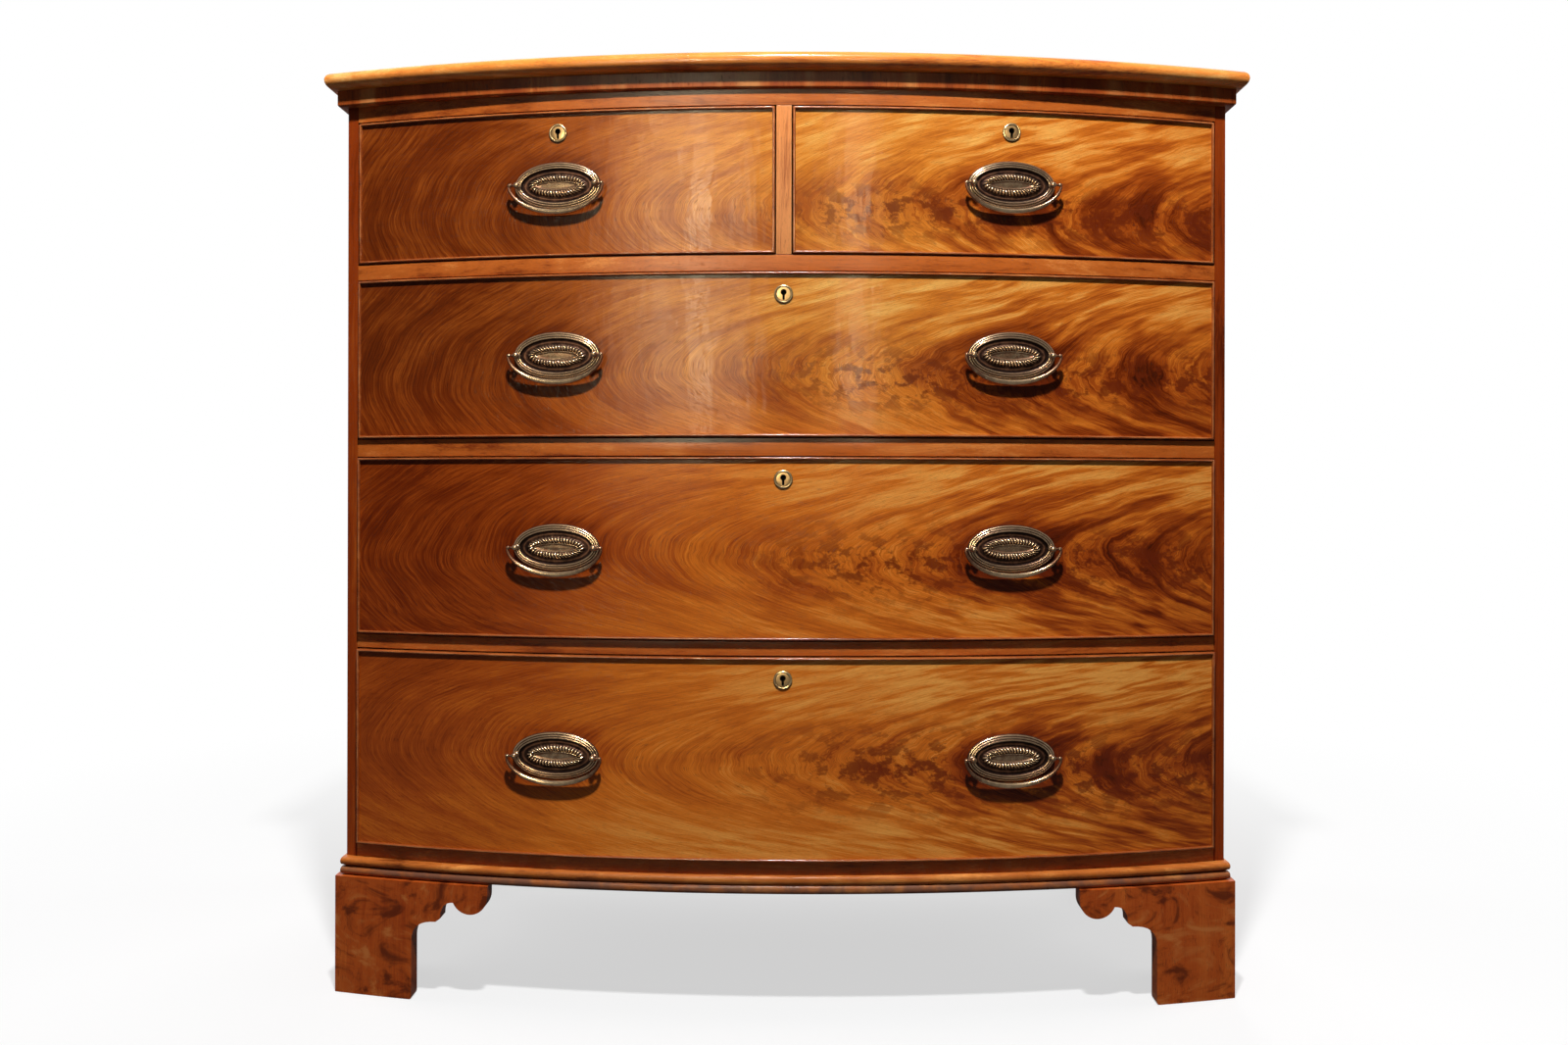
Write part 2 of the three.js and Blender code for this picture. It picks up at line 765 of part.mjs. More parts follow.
// The ends of a drawer, each with its hand and how its side meets the front.
function drawerEnds(drawer) {
  return [
    [drawer.x0, 1],
    [drawer.x1, -1],
  ].map(([outer, inward]) => {
    const inner = outer + inward * boxThickness;
    const faces = [outer, inner].map((x) => bowY(x, drawer.proud - frontThickness));
    return {
      outer,
      inner,
      inward,
      root: Math.min(...faces) + jointGap,
      tip: Math.max(...[outer, inner].map((x) => bowY(x, drawer.proud - lapThickness))) + jointGap,
    };
  });
}

// Drawer front: a bowed board, rebated all round for the bead, with sockets for the dovetails
// and holes for the handles' posts, the keyhole bush and the lock.
const postX = postSpread / 2;
const caseTop = -drawerGap - jointGap; // from the top of the opening
function drawerFront(drawer) {
  const [z0, z1] = [drawer.openingBottom + drawerGap, drawer.openingTop - drawerGap];
  const rebate = beadWidth + jointGap;
  const innerFace = drawer.proud - frontThickness;
  const board = bowPanel(drawer.x0, drawer.x1, drawer.proud - beadDepth - jointGap, innerFace, z0, z1);
  const face = bowPanel(
    drawer.x0 + rebate,
    drawer.x1 - rebate,
    drawer.proud,
    innerFace,
    z0 + rebate,
    z1 - rebate,
  );
  const sockets = drawerEnds(drawer).map(({ outer, inner, inward, root, tip }) => {
    const outline = sideOutline(drawer, root + frontThickness, root, tip, jointGap);
    const xs = [outer - inward * cutOverrun, inner + inward * jointGap].sort((a, b) => a - b);
    return carriedAlongX(outline, ...xs);
  });
  const through = frontThickness + bowFall(plateHalfWidth) + cutOverrun;
  const postHoles = drawer.handles.flatMap(([, x]) =>
    [-postX, postX].map((u) =>
      borer(postRadius + jointGap, through, postSides)
        .translate(u, 0, 0)
        .applyMatrix4(bowFrame(x, drawer.proud, drawer.handleZ).matrix),
    ),
  );
  const atLock = bowFrame(drawer.lockX, drawer.proud, drawer.openingTop).matrix;
  const bushHole = borer(bushRadius + jointGap, through, bushSides)
    .translate(0, 0, -keyholeDrop)
    .applyMatrix4(atLock);
  const recess = box(
    -lockWidth / 2 - jointGap,
    lockWidth / 2 + jointGap,
    lockFaceWood,
    frontThickness + bowFall(lockWidth) + cutOverrun,
    caseTop - lockHeight - jointGap,
    cutOverrun,
  ).applyMatrix4(atLock);
  return cut(join(board, face), ...sockets, ...postHoles, bushHole, recess);
}

// Cockbead: a round-nosed strip let into the edge of the front, mitred at its four corners.
function cockbead(drawer) {
  const nose = beadWidth / 2;
  const section = [[0, -beadDepth]];
  for (let i = 0; i <= beadSteps; i++) {
    const angle = Math.PI - (Math.PI * i) / beadSteps;
    section.push([nose + nose * Math.cos(angle), beadProud - nose + nose * Math.sin(angle)]);
  }
  section.push([beadWidth, -beadDepth]);
  const width = drawer.x1 - drawer.x0;
  const shares = bowLine(drawer.x0, drawer.x1, drawer.proud).map(([x]) => (x - drawer.x0) / width);
  const run = (edge, inward) =>
    shares.map((share) =>
      section.map(([inset, proud]) => {
        const x = drawer.x0 + inset + share * (width - 2 * inset);
        return [x, bowY(x, drawer.proud + proud), edge + inward * inset];
      }),
    );
  const lower = run(drawer.openingBottom + drawerGap, 1);
  const upper = run(drawer.openingTop - drawerGap, -1);
  return skin([...lower, ...upper.reverse()], true);
}

// Drawer box: two dovetailed sides, the back and the bottom, all glued up.
const boxBackY = insideBackY - drawerBackClearance;
function drawerBox(drawer) {
  const ends = drawerEnds(drawer);
  const sides = ends.map(({ outer, inner, root, tip }) => {
    const xs = [outer, inner].sort((a, b) => a - b);
    return carriedAlongX(sideOutline(drawer, boxBackY, root, tip, 0), ...xs);
  });
  const [low, high] = [drawer.openingBottom + runningGap, drawer.openingTop - boxDrop];
  const [bottomLow, bottomHigh] = [low + bottomRaise, low + bottomRaise + bottomThickness];
  const [x0, x1] = [drawer.x0 + boxThickness / 2, drawer.x1 - boxThickness / 2];
  const back = box(x0, x1, boxBackY - boxThickness, boxBackY, bottomLow, high - backDrop);
  const [left, right] = ends;
  const behindFront = drawer.proud - frontThickness - jointGap;
  const outline = [
    ...bowLine(left.inner + jointGap, right.inner - jointGap, behindFront),
    [right.inner, right.root],
    [x1, right.root],
    [x1, boxBackY],
    [x0, boxBackY],
    [x0, left.root],
    [left.inner, left.root],
  ];
  return join(...sides, back, raised(outline, bottomLow, bottomHigh));
}

// Lock: a cased lock in the back of the front, with its keyhole bush and escutcheon.
function lock() {
  const caseBack = frontThickness + bowFall(lockWidth / 2);
  const body = box(
    -lockWidth / 2,
    lockWidth / 2,
    lockFaceWood + jointGap,
    caseBack,
    caseTop - lockHeight,
    caseTop,
  );
  const turned = new THREE.LatheGeometry(
    [
      [0, lockFaceWood + bushRadius / 2],
      [bushRadius, lockFaceWood + bushRadius / 2],
      [bushRadius, -jointGap],
      [escutcheonRadius, -jointGap],
      [escutcheonRadius, -escutcheonProud / 2],
      [(escutcheonRadius + bushRadius) / 2, -escutcheonProud],
      [bushRadius, -escutcheonProud / 2],
      [0, -escutcheonProud / 2],
    ].map(([r, y]) => new THREE.Vector2(r, y)),
    bushSides,
  );
  turned.translate(0, 0, -keyholeDrop);
  const boltMiddle = (lockFaceWood + frontThickness) / 2;
  const channel = box(
    -boltWidth / 2 - jointGap,
    boltWidth / 2 + jointGap,
    boltMiddle - boltThickness / 2 - jointGap,
    boltMiddle + boltThickness / 2 + jointGap,
    caseTop - boltLength - jointGap,
    caseTop + cutOverrun,
  );
  const keyhole = new THREE.Shape();
  const slotTop = keyRaise - Math.sqrt(keyRadius ** 2 - (keySlotWidth / 2) ** 2);
  const slotAngle = Math.asin(keySlotWidth / 2 / keyRadius);
  keyhole.moveTo(-keySlotWidth / 2, slotTop);
  keyhole.lineTo(-keySlotWidth / 2, -keySlotDrop);
  keyhole.lineTo(keySlotWidth / 2, -keySlotDrop);
  keyhole.absarc(0, keyRaise, keyRadius, -Math.PI / 2 + slotAngle, (3 * Math.PI) / 2 - slotAngle, false);
  const keyway = carriedAlongY(keyhole, -escutcheonProud - cutOverrun, boltMiddle);
  return cut(join(body, facingOut(bare(turned))), channel, keyway.translate(0, 0, -keyholeDrop));
}

// Lock bolt: a flat steel bar that is thrown up into the rail.
function lockBolt() {
  const boltMiddle = (lockFaceWood + frontThickness) / 2;
  return box(
    -boltWidth / 2,
    boltWidth / 2,
    boltMiddle - boltThickness / 2,
    boltMiddle + boltThickness / 2,
    caseTop - boltLength,
    caseTop,
  );
}

// Handle plate: a stamped oval with a raised rim and boss, and the two posts that hold it on.
function ovalRing(halfX, halfZ, height) {
  return Array.from({ length: plateSides }, (_, i) => {
    const angle = (2 * Math.PI * i) / plateSides;
    return [halfX * Math.cos(angle), -height, halfZ * Math.sin(angle)];
  });
}
function handlePlate() {
  const plate = skin([
    ovalRing(plateHalfWidth, plateHalfHeight, jointGap),
    ovalRing(plateHalfWidth, plateHalfHeight, fieldHeight),
    ovalRing(plateHalfWidth - rimWidth / 4, plateHalfHeight - rimWidth / 4, rimHeight),
    ovalRing(plateHalfWidth - rimWidth, plateHalfHeight - rimWidth, fieldHeight),
    ovalRing(bossHalfWidth, bossHalfHeight, fieldHeight),
    ovalRing(bossHalfWidth - bossBand / 2, bossHalfHeight - bossBand / 2, bossHeight),
    ovalRing(bossHalfWidth - bossBand, bossHalfHeight - bossBand, bossCentreHeight),
  ]);
  const nutFace = frontThickness + bowFall(postX + nutRadius) + jointGap;
  const post = new THREE.LatheGeometry(
    [
      [0, nutFace + nutHeight],
      [nutRadius, nutFace + nutHeight],
      [nutRadius, nutFace],
      [postRadius, nutFace],
      [postRadius, -pivotStand + ballRadius * Math.cos(Math.asin(postRadius / ballRadius))],
      [ballRadius, -pivotStand],
      [ballRadius * Math.SQRT1_2, -pivotStand - ballRadius * Math.SQRT1_2],
      [0, -pivotStand - ballRadius],
    ].map(([r, y]) => new THREE.Vector2(r, y)),
    postSides,
  );
  const pinHole = borer(pinRadius + jointGap, ballRadius + cutOverrun, bailSides);
  pinHole.rotateZ(Math.PI / 2).translate(0, -pivotStand, 0);
  const bored = cut(facingOut(bare(post)), pinHole);
  return join(plate, bored.clone().translate(-postX, 0, 0), bored.clone().translate(postX, 0, 0));
}

// Bail: a swelling grip hung between two pins that turn in to the posts, and bent back under the plate.
function bail() {
  const pinAndTurn = [
    [-postX + ballRadius / 2, 0, pinRadius, 0],
    [-bailHalfWidth + bailBend, 0, pinRadius, 0],
    [-bailHalfWidth + bailBend * bendOutShare, -bailBend * bendDropShare, pinRadius, 0],
  ];
  const path = [...pinAndTurn];
  for (let i = 1; i < bailSteps; i++) {
    const angle = (Math.PI * i) / bailSteps;
    const hang = Math.sin(angle);
    const radius = pinRadius + (bailRadius - pinRadius) * hang ** swellPower;
    path.push([-bailHalfWidth * Math.cos(angle), -bailDrop * hang, radius, bailLean * hang]);
  }
  path.push(...pinAndTurn.toReversed().map(([x, z, r, back]) => [-x, z, r, back]));
  const rings = path.map(([x, z, r, back], i) => {
    const [before, after] = [path[Math.max(i - 1, 0)], path[Math.min(i + 1, path.length - 1)]];
    const along = new THREE.Vector2(after[0] - before[0], after[1] - before[1]).normalize();
    return Array.from({ length: bailSides }, (_, j) => {
      const angle = (2 * Math.PI * j) / bailSides;
      const out = r * Math.cos(angle);
      return [x - along.y * out, back - pivotStand + r * Math.sin(angle), z + along.x * out];
    });
  });
  return skin(rings);
}

// Each drawer's pieces
for (const drawer of drawers) {
  add(`${drawer.name}_front`, drawerFront(drawer), flameWood);
  add(`${drawer.name}_cockbead`, cockbead(drawer), beadWood);
  add(`${drawer.name}_box`, drawerBox(drawer), plainWood);
  const atLock = bowFrame(drawer.lockX, drawer.proud, drawer.openingTop);
  add(`${drawer.name}_lock`, lock(), lockBrass, atLock);
  add(`${drawer.name}_lock_bolt`, lockBolt(), boltSteel, atLock);
  chest.add(atLock);
  for (const [side, x] of drawer.handles) {
    const onFace = bowFrame(x, drawer.proud, drawer.handleZ);
    add(`${drawer.name}_handle_plate${side}`, handlePlate(), handleBrass, onFace);
    add(`${drawer.name}_bail${side}`, bail(), handleBrass, onFace);
    chest.add(onFace);
  }
}

export default chest;
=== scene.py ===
import math

import bmesh
import bpy
import numpy as np
from mathutils import Euler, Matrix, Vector


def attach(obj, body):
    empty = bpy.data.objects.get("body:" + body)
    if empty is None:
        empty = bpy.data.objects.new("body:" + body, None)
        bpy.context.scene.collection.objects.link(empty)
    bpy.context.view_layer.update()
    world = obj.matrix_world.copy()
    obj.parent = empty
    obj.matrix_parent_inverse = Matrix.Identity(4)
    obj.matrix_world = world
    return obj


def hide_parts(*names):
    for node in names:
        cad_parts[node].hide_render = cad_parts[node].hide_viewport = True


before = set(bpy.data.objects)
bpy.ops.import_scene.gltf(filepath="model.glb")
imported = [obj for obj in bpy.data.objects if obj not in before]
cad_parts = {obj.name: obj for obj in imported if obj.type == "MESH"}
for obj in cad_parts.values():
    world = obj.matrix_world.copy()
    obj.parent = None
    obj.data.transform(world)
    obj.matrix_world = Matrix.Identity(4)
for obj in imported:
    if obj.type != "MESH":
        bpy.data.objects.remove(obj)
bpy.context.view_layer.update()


# Studio: a pale floor that runs out to white, a white surround, a small key lamp high in front and
# wide lamps at the sides and back for matt faces alone. Five narrow upright lamps, four of them on
# the left, show in polish alone. The camera stands in front at half height, a little to the right.
def join(made, inputs):
    """A node, its inputs, by name or number, joined to sockets or set to values."""
    for key, value in dict(inputs).items():
        socket = made.inputs[key]
        if isinstance(value, bpy.types.NodeSocket):
            made.id_data.links.new(value, socket)
        else:
            socket.default_value = value
    return made


def node(tree, kind, inputs=(), **settings):
    """A new node of that kind with its settings and inputs."""
    made = tree.nodes.new(kind)
    for name, value in settings.items():
        setattr(made, name, value)
    return join(made, inputs)


def tree_of(*values):
    """The tree of the first socket among some values."""
    return next(value.id_data for value in values if isinstance(value, bpy.types.NodeSocket))


def arithmetic(operation, *values):
    """One step of arithmetic between sockets or numbers."""
    inputs = dict(enumerate(values))
    return node(tree_of(*values), "ShaderNodeMath", inputs, operation=operation).outputs[0]


def times(first, second, plus=None):
    """A product, and a third value added where one is given."""
    if plus is None:
        return arithmetic("MULTIPLY", first, second)
    return arithmetic("MULTIPLY_ADD", first, second, plus)


def between(value, low, high, to_low=0.0, to_high=1.0):
    """A value eased from one range into another."""
    inputs = dict(enumerate((value, low, high, to_low, to_high)))
    kind = {"interpolation_type": "SMOOTHSTEP"}
    return node(value.id_data, "ShaderNodeMapRange", inputs, **kind).outputs[0]


def either(tree, *kinds):
    """1 for rays of any of these kinds and 0 for all others."""
    rays = node(tree, "ShaderNodeLightPath").outputs
    found = rays[f"Is {kinds[0]} Ray"]
    for kind in kinds[1:]:
        found = arithmetic("MAXIMUM", found, rays[f"Is {kind} Ray"])
    return found


def coordinate(vector, axis):
    """One coordinate of a vector: 0 is X, 1 is Y and 2 is Z."""
    return node(vector.id_data, "ShaderNodeSeparateXYZ", {0: vector}).outputs[axis]


def placed(name, data):
    """A new object at the origin."""
    made = bpy.data.objects.new(name, data)
    bpy.context.collection.objects.link(made)
    return made


def new_finish(name):
    """A new material, its tree, its shader and the place on the piece that its patterns read."""
    made = bpy.data.materials.new(name)
    made.use_nodes = True
    tree = made.node_tree
    place = node(tree, "ShaderNodeTexCoord").outputs["Object"]
    return made, tree, tree.nodes["Principled BSDF"], place


def circle(sides):
    """Even angles once round."""
    return np.linspace(0, 2 * np.pi, sides, endpoint=False)


def grid(x, y, z):
    """Points from three arrays of coordinates, each spread over the whole grid."""
    return np.stack(np.broadcast_arrays(x, y, z), -1)


# Matt faces get a weak even light from the surround. Polish sees it dark in front and white behind.
surround = bpy.data.worlds.new("white_surround")
surround.use_nodes = True
tree = surround.node_tree
tree.nodes.clear()
behind = coordinate(node(tree, "ShaderNodeTexCoord").outputs["Generated"], 1)
room = times(behind, 0.9, 0.42)
room = node(tree, "ShaderNodeMapRange", {"Value": room, "To Min": 0.06, "To Max": 1.0}).outputs[0]
room = node(tree, "ShaderNodeMix", {0: either(tree, "Glossy"), 2: 0.07, 3: room}).outputs[0]
straight = either(tree, "Camera", "Transmission")
white = node(tree, "ShaderNodeMix", {0: straight, 2: room, 3: 1.0}).outputs[0]
glow = node(tree, "ShaderNodeBackground", {"Color": (1, 1, 1, 1), "Strength": white})
node(tree, "ShaderNodeOutputWorld", {"Surface": glow.outputs[0]})
bpy.context.scene.world = surround

FLOOR_RADIUS, FLOOR_HEIGHT = 9.0, -0.0004
floor_mesh = bpy.data.meshes.new("studio_floor")
turn = circle(96)
rim = grid(FLOOR_RADIUS * np.cos(turn), FLOOR_RADIUS * np.sin(turn), FLOOR_HEIGHT)
floor_mesh.from_pydata(rim.tolist(), [], [list(range(len(turn)))])
floor = placed("studio_floor", floor_mesh)

# The floor is white to the camera but for shadows, dim in polish, and casts little light back.
paper, tree, shader, place = new_finish("floor_paper")
tree.nodes.remove(shader)
away = node(tree, "ShaderNodeVectorMath", {0: place}, operation="LENGTH").outputs["Value"]
dimmed = times(either(tree, "Glossy"), -0.90, 1.0)
shown = times(between(away, 0.6, 1.9, 0.62, 1.0), dimmed)
shown = times(shown, either(tree, "Camera", "Glossy", "Transmission"))
albedo = times(either(tree, "Diffuse", "Glossy"), -0.74, 0.82)
matt = node(tree, "ShaderNodeBsdfDiffuse", {"Color": albedo})
lit = node(tree, "ShaderNodeEmission", {"Color": (1, 1, 1, 1), "Strength": 1.0})
both = node(tree, "ShaderNodeMixShader", {0: shown, 1: matt.outputs[0], 2: lit.outputs[0]})
join(tree.nodes["Material Output"], {"Surface": both.outputs[0]})
floor.data.materials.append(paper)

MIDDLE = (0.0, -0.15, 0.55)
WHITE, AMBER = (1, 1, 1), (1, 0.90, 0.62)


def lamp(name, place, size, power, aim=MIDDLE, height=None, gloss=True, matt=True, colour=WHITE):
    """A rectangular lamp turned to its aim, and kept out of polished or matt faces if need be."""
    data = bpy.data.lights.new(name, "AREA")
    data.shape = "RECTANGLE"
    data.size = size
    data.size_y = height or size
    data.energy = power
    data.color = colour
    made = placed(name, data)
    made.location = place
    made.rotation_euler = (Vector(aim) - Vector(place)).to_track_quat("-Z", "Y").to_euler()
    made.visible_camera = False
    made.visible_diffuse = matt
    made.visible_glossy = gloss


lamp("key_lamp", (0.0, -1.235, 2.48), 0.12, 68, (0.0, -0.2, 0.62))
lamp("left_lamp", (-2.9, 0.6, 1.7), 1.4, 30, gloss=False)
lamp("right_lamp", (2.9, 0.6, 1.7), 1.4, 30, gloss=False)
lamp("back_lamp", (0.4, 2.8, 2.2), 1.6, 46, gloss=False)
STREAKS = [(-0.865, 2.8), (-0.672, 6.4), (-0.458, 9.5), (-0.257, 4.6), (0.336, 5.0)]
for number, (x, power) in enumerate(STREAKS):
    lamp(f"streak_lamp_{number}", (x, -2.25, 1.25), 0.06, power, (x * 0.2, -0.25, 0.9), 1.0,
         matt=False, colour=AMBER)

CAMERA_TURN, CAMERA_ROLL = math.radians(0.772), math.radians(0.123)
camera = placed("camera", bpy.data.cameras.new("camera"))
camera.data.lens = 28.8
camera.data.sensor_width = 36
camera.data.shift_y = -0.0184
camera.data.clip_start = 0.05
camera.location = (0.0197, -1.6513, 0.5808)
level = Euler((math.radians(90), 0, CAMERA_TURN)).to_matrix()
camera.rotation_euler = (level @ Euler((0, 0, CAMERA_ROLL)).to_matrix()).to_euler()
bpy.context.scene.camera = camera
bpy.context.scene.view_settings.view_transform = "Standard"


# Sides: solid mahogany boards, the grain upright, bevelled to the bow along their front edges,
# glued to the rails and housed for the boards. The polish is old shellac, a little uneven.
def linear(red, green, blue):
    """A colour given as it looks on a screen, 0 to 255, as the light that it stands for."""
    share = np.array([red, green, blue]) / 255
    light = np.where(share < 0.04045, share / 12.92, ((share + 0.055) / 1.055) ** 2.4)
    return (*light.tolist(), 1)


def mixed(share, first, second, blend="MIX"):
    """Two colours mixed: the first where share is 0."""
    kind = {"data_type": "RGBA", "blend_type": blend}
    inputs = {0: share, 6: first, 7: second}
    return node(tree_of(share, first), "ShaderNodeMix", inputs, **kind).outputs[2]


def laid_over(colour, other, noise, low, high, to_low, to_high):
    """A colour with another laid over it, as much as the noise says."""
    return mixed(between(noise, low, high, to_low, to_high), colour, linear(*other))


def stretched(vector, scales, detail=2.0, roughness=0.5, distortion=0.0):
    """Noise of 0 to 1 over a vector that is first multiplied by three scales."""
    tree = vector.id_data
    scaled = node(tree, "ShaderNodeVectorMath", {0: vector, 1: scales}, operation="MULTIPLY")
    inputs = {"Vector": scaled.outputs[0], "Scale": 1.0, "Detail": detail}
    inputs |= {"Roughness": roughness, "Distortion": distortion}
    return node(tree, "ShaderNodeTexNoise", inputs).outputs["Fac"]


def swayed(base, noise, amount):
    """A base swayed up and down by a noise: base + amount * (noise - 0.5)."""
    return times(arithmetic("SUBTRACT", noise, 0.5), amount, base)


def group(name, inputs, outputs):
    """A new node group with sockets of these names and kinds, its entry's outputs and its exit."""
    made = bpy.data.node_groups.new(name, "ShaderNodeTree")
    for way, sockets in (("INPUT", inputs), ("OUTPUT", outputs)):
        for label, kind in sockets.items():
            made.interface.new_socket(label, in_out=way, socket_type=f"NodeSocket{kind}")
    return made, made.nodes.new("NodeGroupInput").outputs, made.nodes.new("NodeGroupOutput")


# Grain: bands, streaks and fibres drawn out along a course that drifts, with pores and a ribbon.
grain, given, out = group(
    "long_grain",
    {"Vector": "Vector", "Dark": "Color", "Middle": "Color", "Light": "Color", "Figure": "Float"},
    {"Color": "Color", "Pores": "Float", "Height": "Float"},
)
swing = times(stretched(given["Vector"], (2.2, 9, 9), 2), 0.05, -0.025)
moved = node(grain, "ShaderNodeCombineXYZ", {0: 0.0, 1: swing, 2: swing}).outputs[0]
course = node(grain, "ShaderNodeVectorMath", {0: given["Vector"], 1: moved}).outputs[0]
bands = stretched(course, (1.4, 46, 46), 3, 0.6)
streaks = stretched(course, (5, 210, 210), 3, 0.6)
fibres = stretched(course, (22, 1150, 1150), 1, 0.6)
ribbon = stretched(given["Vector"], (17, 6, 6), 2, 0.55, 0.6)
tone = swayed(swayed(swayed(0.5, bands, 1.5), streaks, 0.75), fibres, 0.5)
tone = swayed(tone, ribbon, times(given["Figure"], 0.9))
lower = mixed(between(tone, 0.0, 0.5), given["Dark"], given["Middle"])
colour = mixed(between(tone, 0.5, 1.0), lower, given["Light"])
pores = between(stretched(course, (150, 2600, 2600), 0), 0.66, 0.78)
colour = mixed(times(pores, 0.4), colour, linear(60, 24, 10))
height = times(pores, -1.0, times(fibres, 0.25))
join(out, {"Color": colour, "Pores": pores, "Height": height})

LENGTHWISE = (0, 0, 0)
UPRIGHT = (0, math.radians(90), 0)


def relieved(shader, height, strength, depth):
    """Gives a shader its fine relief."""
    relief = {"Strength": strength, "Distance": depth, "Height": height}
    join(shader, {"Normal": node(shader.id_data, "ShaderNodeBump", relief).outputs[0]})


def wood(name, colours, turn=LENGTHWISE, shift=(0, 0, 0), figure=1.0, gloss=0.24, specular=0.20,
         depth=0.00012, overlay=None, scale=(1, 1, 1)):
    """Wood in three colours, its grain along X, turned and scaled. An overlay, where given, adds to
    its colour.
    """
    made, tree, shader, place = new_finish(name)
    mapping = {"Vector": place, "Location": shift, "Rotation": turn, "Scale": scale}
    mapped = node(tree, "ShaderNodeMapping", mapping).outputs[0]
    dark, middle, light = (linear(*colour) for colour in colours)
    inputs = {"Vector": mapped, "Dark": dark, "Middle": middle, "Light": light, "Figure": figure}
    grained = node(tree, "ShaderNodeGroup", inputs, node_tree=grain).outputs
    colour = overlay(place, grained["Color"]) if overlay else grained["Color"]
    smears = stretched(place, (7, 7, 5), 3, 0.6)
    rough = between(smears, 0.3, 0.7, gloss - 0.05, gloss + 0.08)
    rough = times(grained["Pores"], 0.15, rough)
    relieved(shader, grained["Height"], 0.5, depth)
    join(shader, {"Base Color": colour, "Roughness": rough, "Specular IOR Level": specular})
    return made


STILE = [(82, 24, 4), (142, 54, 12), (178, 84, 26)]
side_wood = wood("mahogany_upright", STILE, UPRIGHT, (0.2, 0.1, 0.3), 0.5, specular=0.12)


def dressed(name, material):
    """A CAD piece that is shown, with its own finish."""
    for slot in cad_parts[name].material_slots:
        slot.material = material


for name in ("side_left", "side_right"):
    dressed(name, side_wood)


# Rails, bottom board and divider: mahogany boards bowed at the front and let into the sides.
# Each shows a facing of straight-grained mahogany, glued on and cleaned up to the true curve.
MM = 0.001
JOINT_GAP = 0.0003
HALF_WIDTH = 0.513
OPENING_HALF = 0.500
BOW_SAG = 0.070
BOW_RADIUS = (HALF_WIDTH**2 + BOW_SAG**2) / (2 * BOW_SAG)
BACK_Y = 0.2715
CORNER_Y = BACK_Y - 0.455
BOW_CENTRE = CORNER_Y + BOW_RADIUS - BOW_SAG
CARCASE_TOP = 1.050
HEIGHTS = {
    "rail_top": (1.0139, CARCASE_TOP),
    "rail_upper": (0.8291, 0.8471),
    "rail_middle": (0.6228, 0.6428),
    "rail_lower": (0.3999, 0.4159),
    "bottom_board": (0.1485, 0.1705),
}
EDGES = list(HEIGHTS.values())
OPENINGS = [(below[1], above[0]) for above, below in zip(EDGES, EDGES[1:])]


def bow(x, proud=0.0):
    """How far back the front lies at x, on a circle of radius BOW_RADIUS + proud."""
    return BOW_CENTRE - np.sqrt((BOW_RADIUS + proud) ** 2 - np.asarray(x) ** 2)


def finished(name, mesh, material, angle):
    """A mesh as a piece of one material, smooth but for its edges sharper than an angle."""
    mesh.polygons.foreach_set("use_smooth", np.ones(len(mesh.polygons), bool))
    mesh.set_sharp_from_angle(angle=math.radians(angle))
    mesh.materials.append(material)
    return placed(name, mesh)


def surface(name, points, material, closed_rows=False, closed_columns=True, angle=35):
    """A mesh over a grid of points, faces (i, j), (i, j+1), (i+1, j+1), (i+1, j). Closed columns
    run round each row's ring, and caps close the first ring and the last."""
    rows, columns = points.shape[:2]
    i = np.arange(rows - 1 + closed_rows)[:, None]
    j = np.arange(columns - 1 + closed_columns)
    down, right = (i + 1) % rows, (j + 1) % columns
    corners = [i * columns + j, i * columns + right, down * columns + right, down * columns + j]
    faces = np.stack(corners, -1).reshape(-1, 4)
    rings = []
    if closed_columns and not closed_rows:
        rings = [np.arange(columns)[::-1], (rows - 1) * columns + np.arange(columns)]
    flat = points.reshape(-1, 3)
    mesh = bpy.data.meshes.new(name)
    mesh.from_pydata(flat.tolist(), [], [*faces.tolist(), *(ring.tolist() for ring in rings)])
    a, b, c, d = (flat[faces[:, k]] for k in range(4))
    volume = np.sum(a * np.cross(b, c)) + np.sum(a * np.cross(c, d))
    for ring in rings:
        volume += np.sum(flat[ring[0]] * np.cross(flat[ring[1:-1]], flat[ring[2:]]))
    if volume < 0:
        mesh.flip_normals()
    return finished(name, mesh, material, angle)


def softened(width, height, radius, steps=4):
    """A rectangle, width out and height up, its two front corners rounded: a point of each quarter
    turn is radius * (sine, 1 - cosine) from where the corner starts."""
    turn = np.linspace(0, np.pi / 2, steps + 1)
    out = width - radius
    low = np.stack([out + radius * np.sin(turn), radius - radius * np.cos(turn)], 1)
    high = np.stack([out + radius * np.cos(turn), height - radius + radius * np.sin(turn)], 1)
    return np.concatenate([[[0, 0]], low, high, [[0, height]]])


def round_bow(section, x0, x1, steps):
    """A section of (proud, height) points carried along the bow."""
    x = np.linspace(x0, x1, steps + 1)[:, None]
    proud, z = section.T
    return grid(x, bow(x, proud), z)


RAIL = [(126, 50, 14), (190, 97, 34), (222, 136, 64)]
# The divider's colours are paler and bluer than the rails': its mahogany with a painted sheen of
# reflected light laid into them.
DIVIDER = [(150, 72, 28), (216, 134, 72), (240, 172, 108)]
rail_wood = wood("mahogany_rail", RAIL, shift=(0.7, 0.2, 0.1), figure=0.8)
divider_wood = wood("mahogany_divider", DIVIDER, UPRIGHT, (0.2, 0.6, 0.3), 0.5)
rail_core = wood("mahogany_plain", STILE, shift=(0.1, 0.5, 0.2), figure=0.4, gloss=0.4)
FACING_THICKNESS, FACING_INSET, FACING_ARRIS = 0.0011, 0.001, 0.0005


def faced(name, half_width, low, high, material, steps):
    """A CAD board, and the facing on its front edge, a tenth of a millimetre proud."""
    section = softened(FACING_THICKNESS, high - low, FACING_ARRIS) + [-FACING_INSET, low]
    facing = surface(f"{name}_facing", round_bow(section, -half_width, half_width, steps), material)
    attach(facing, "carcase")
    dressed(name, rail_core)


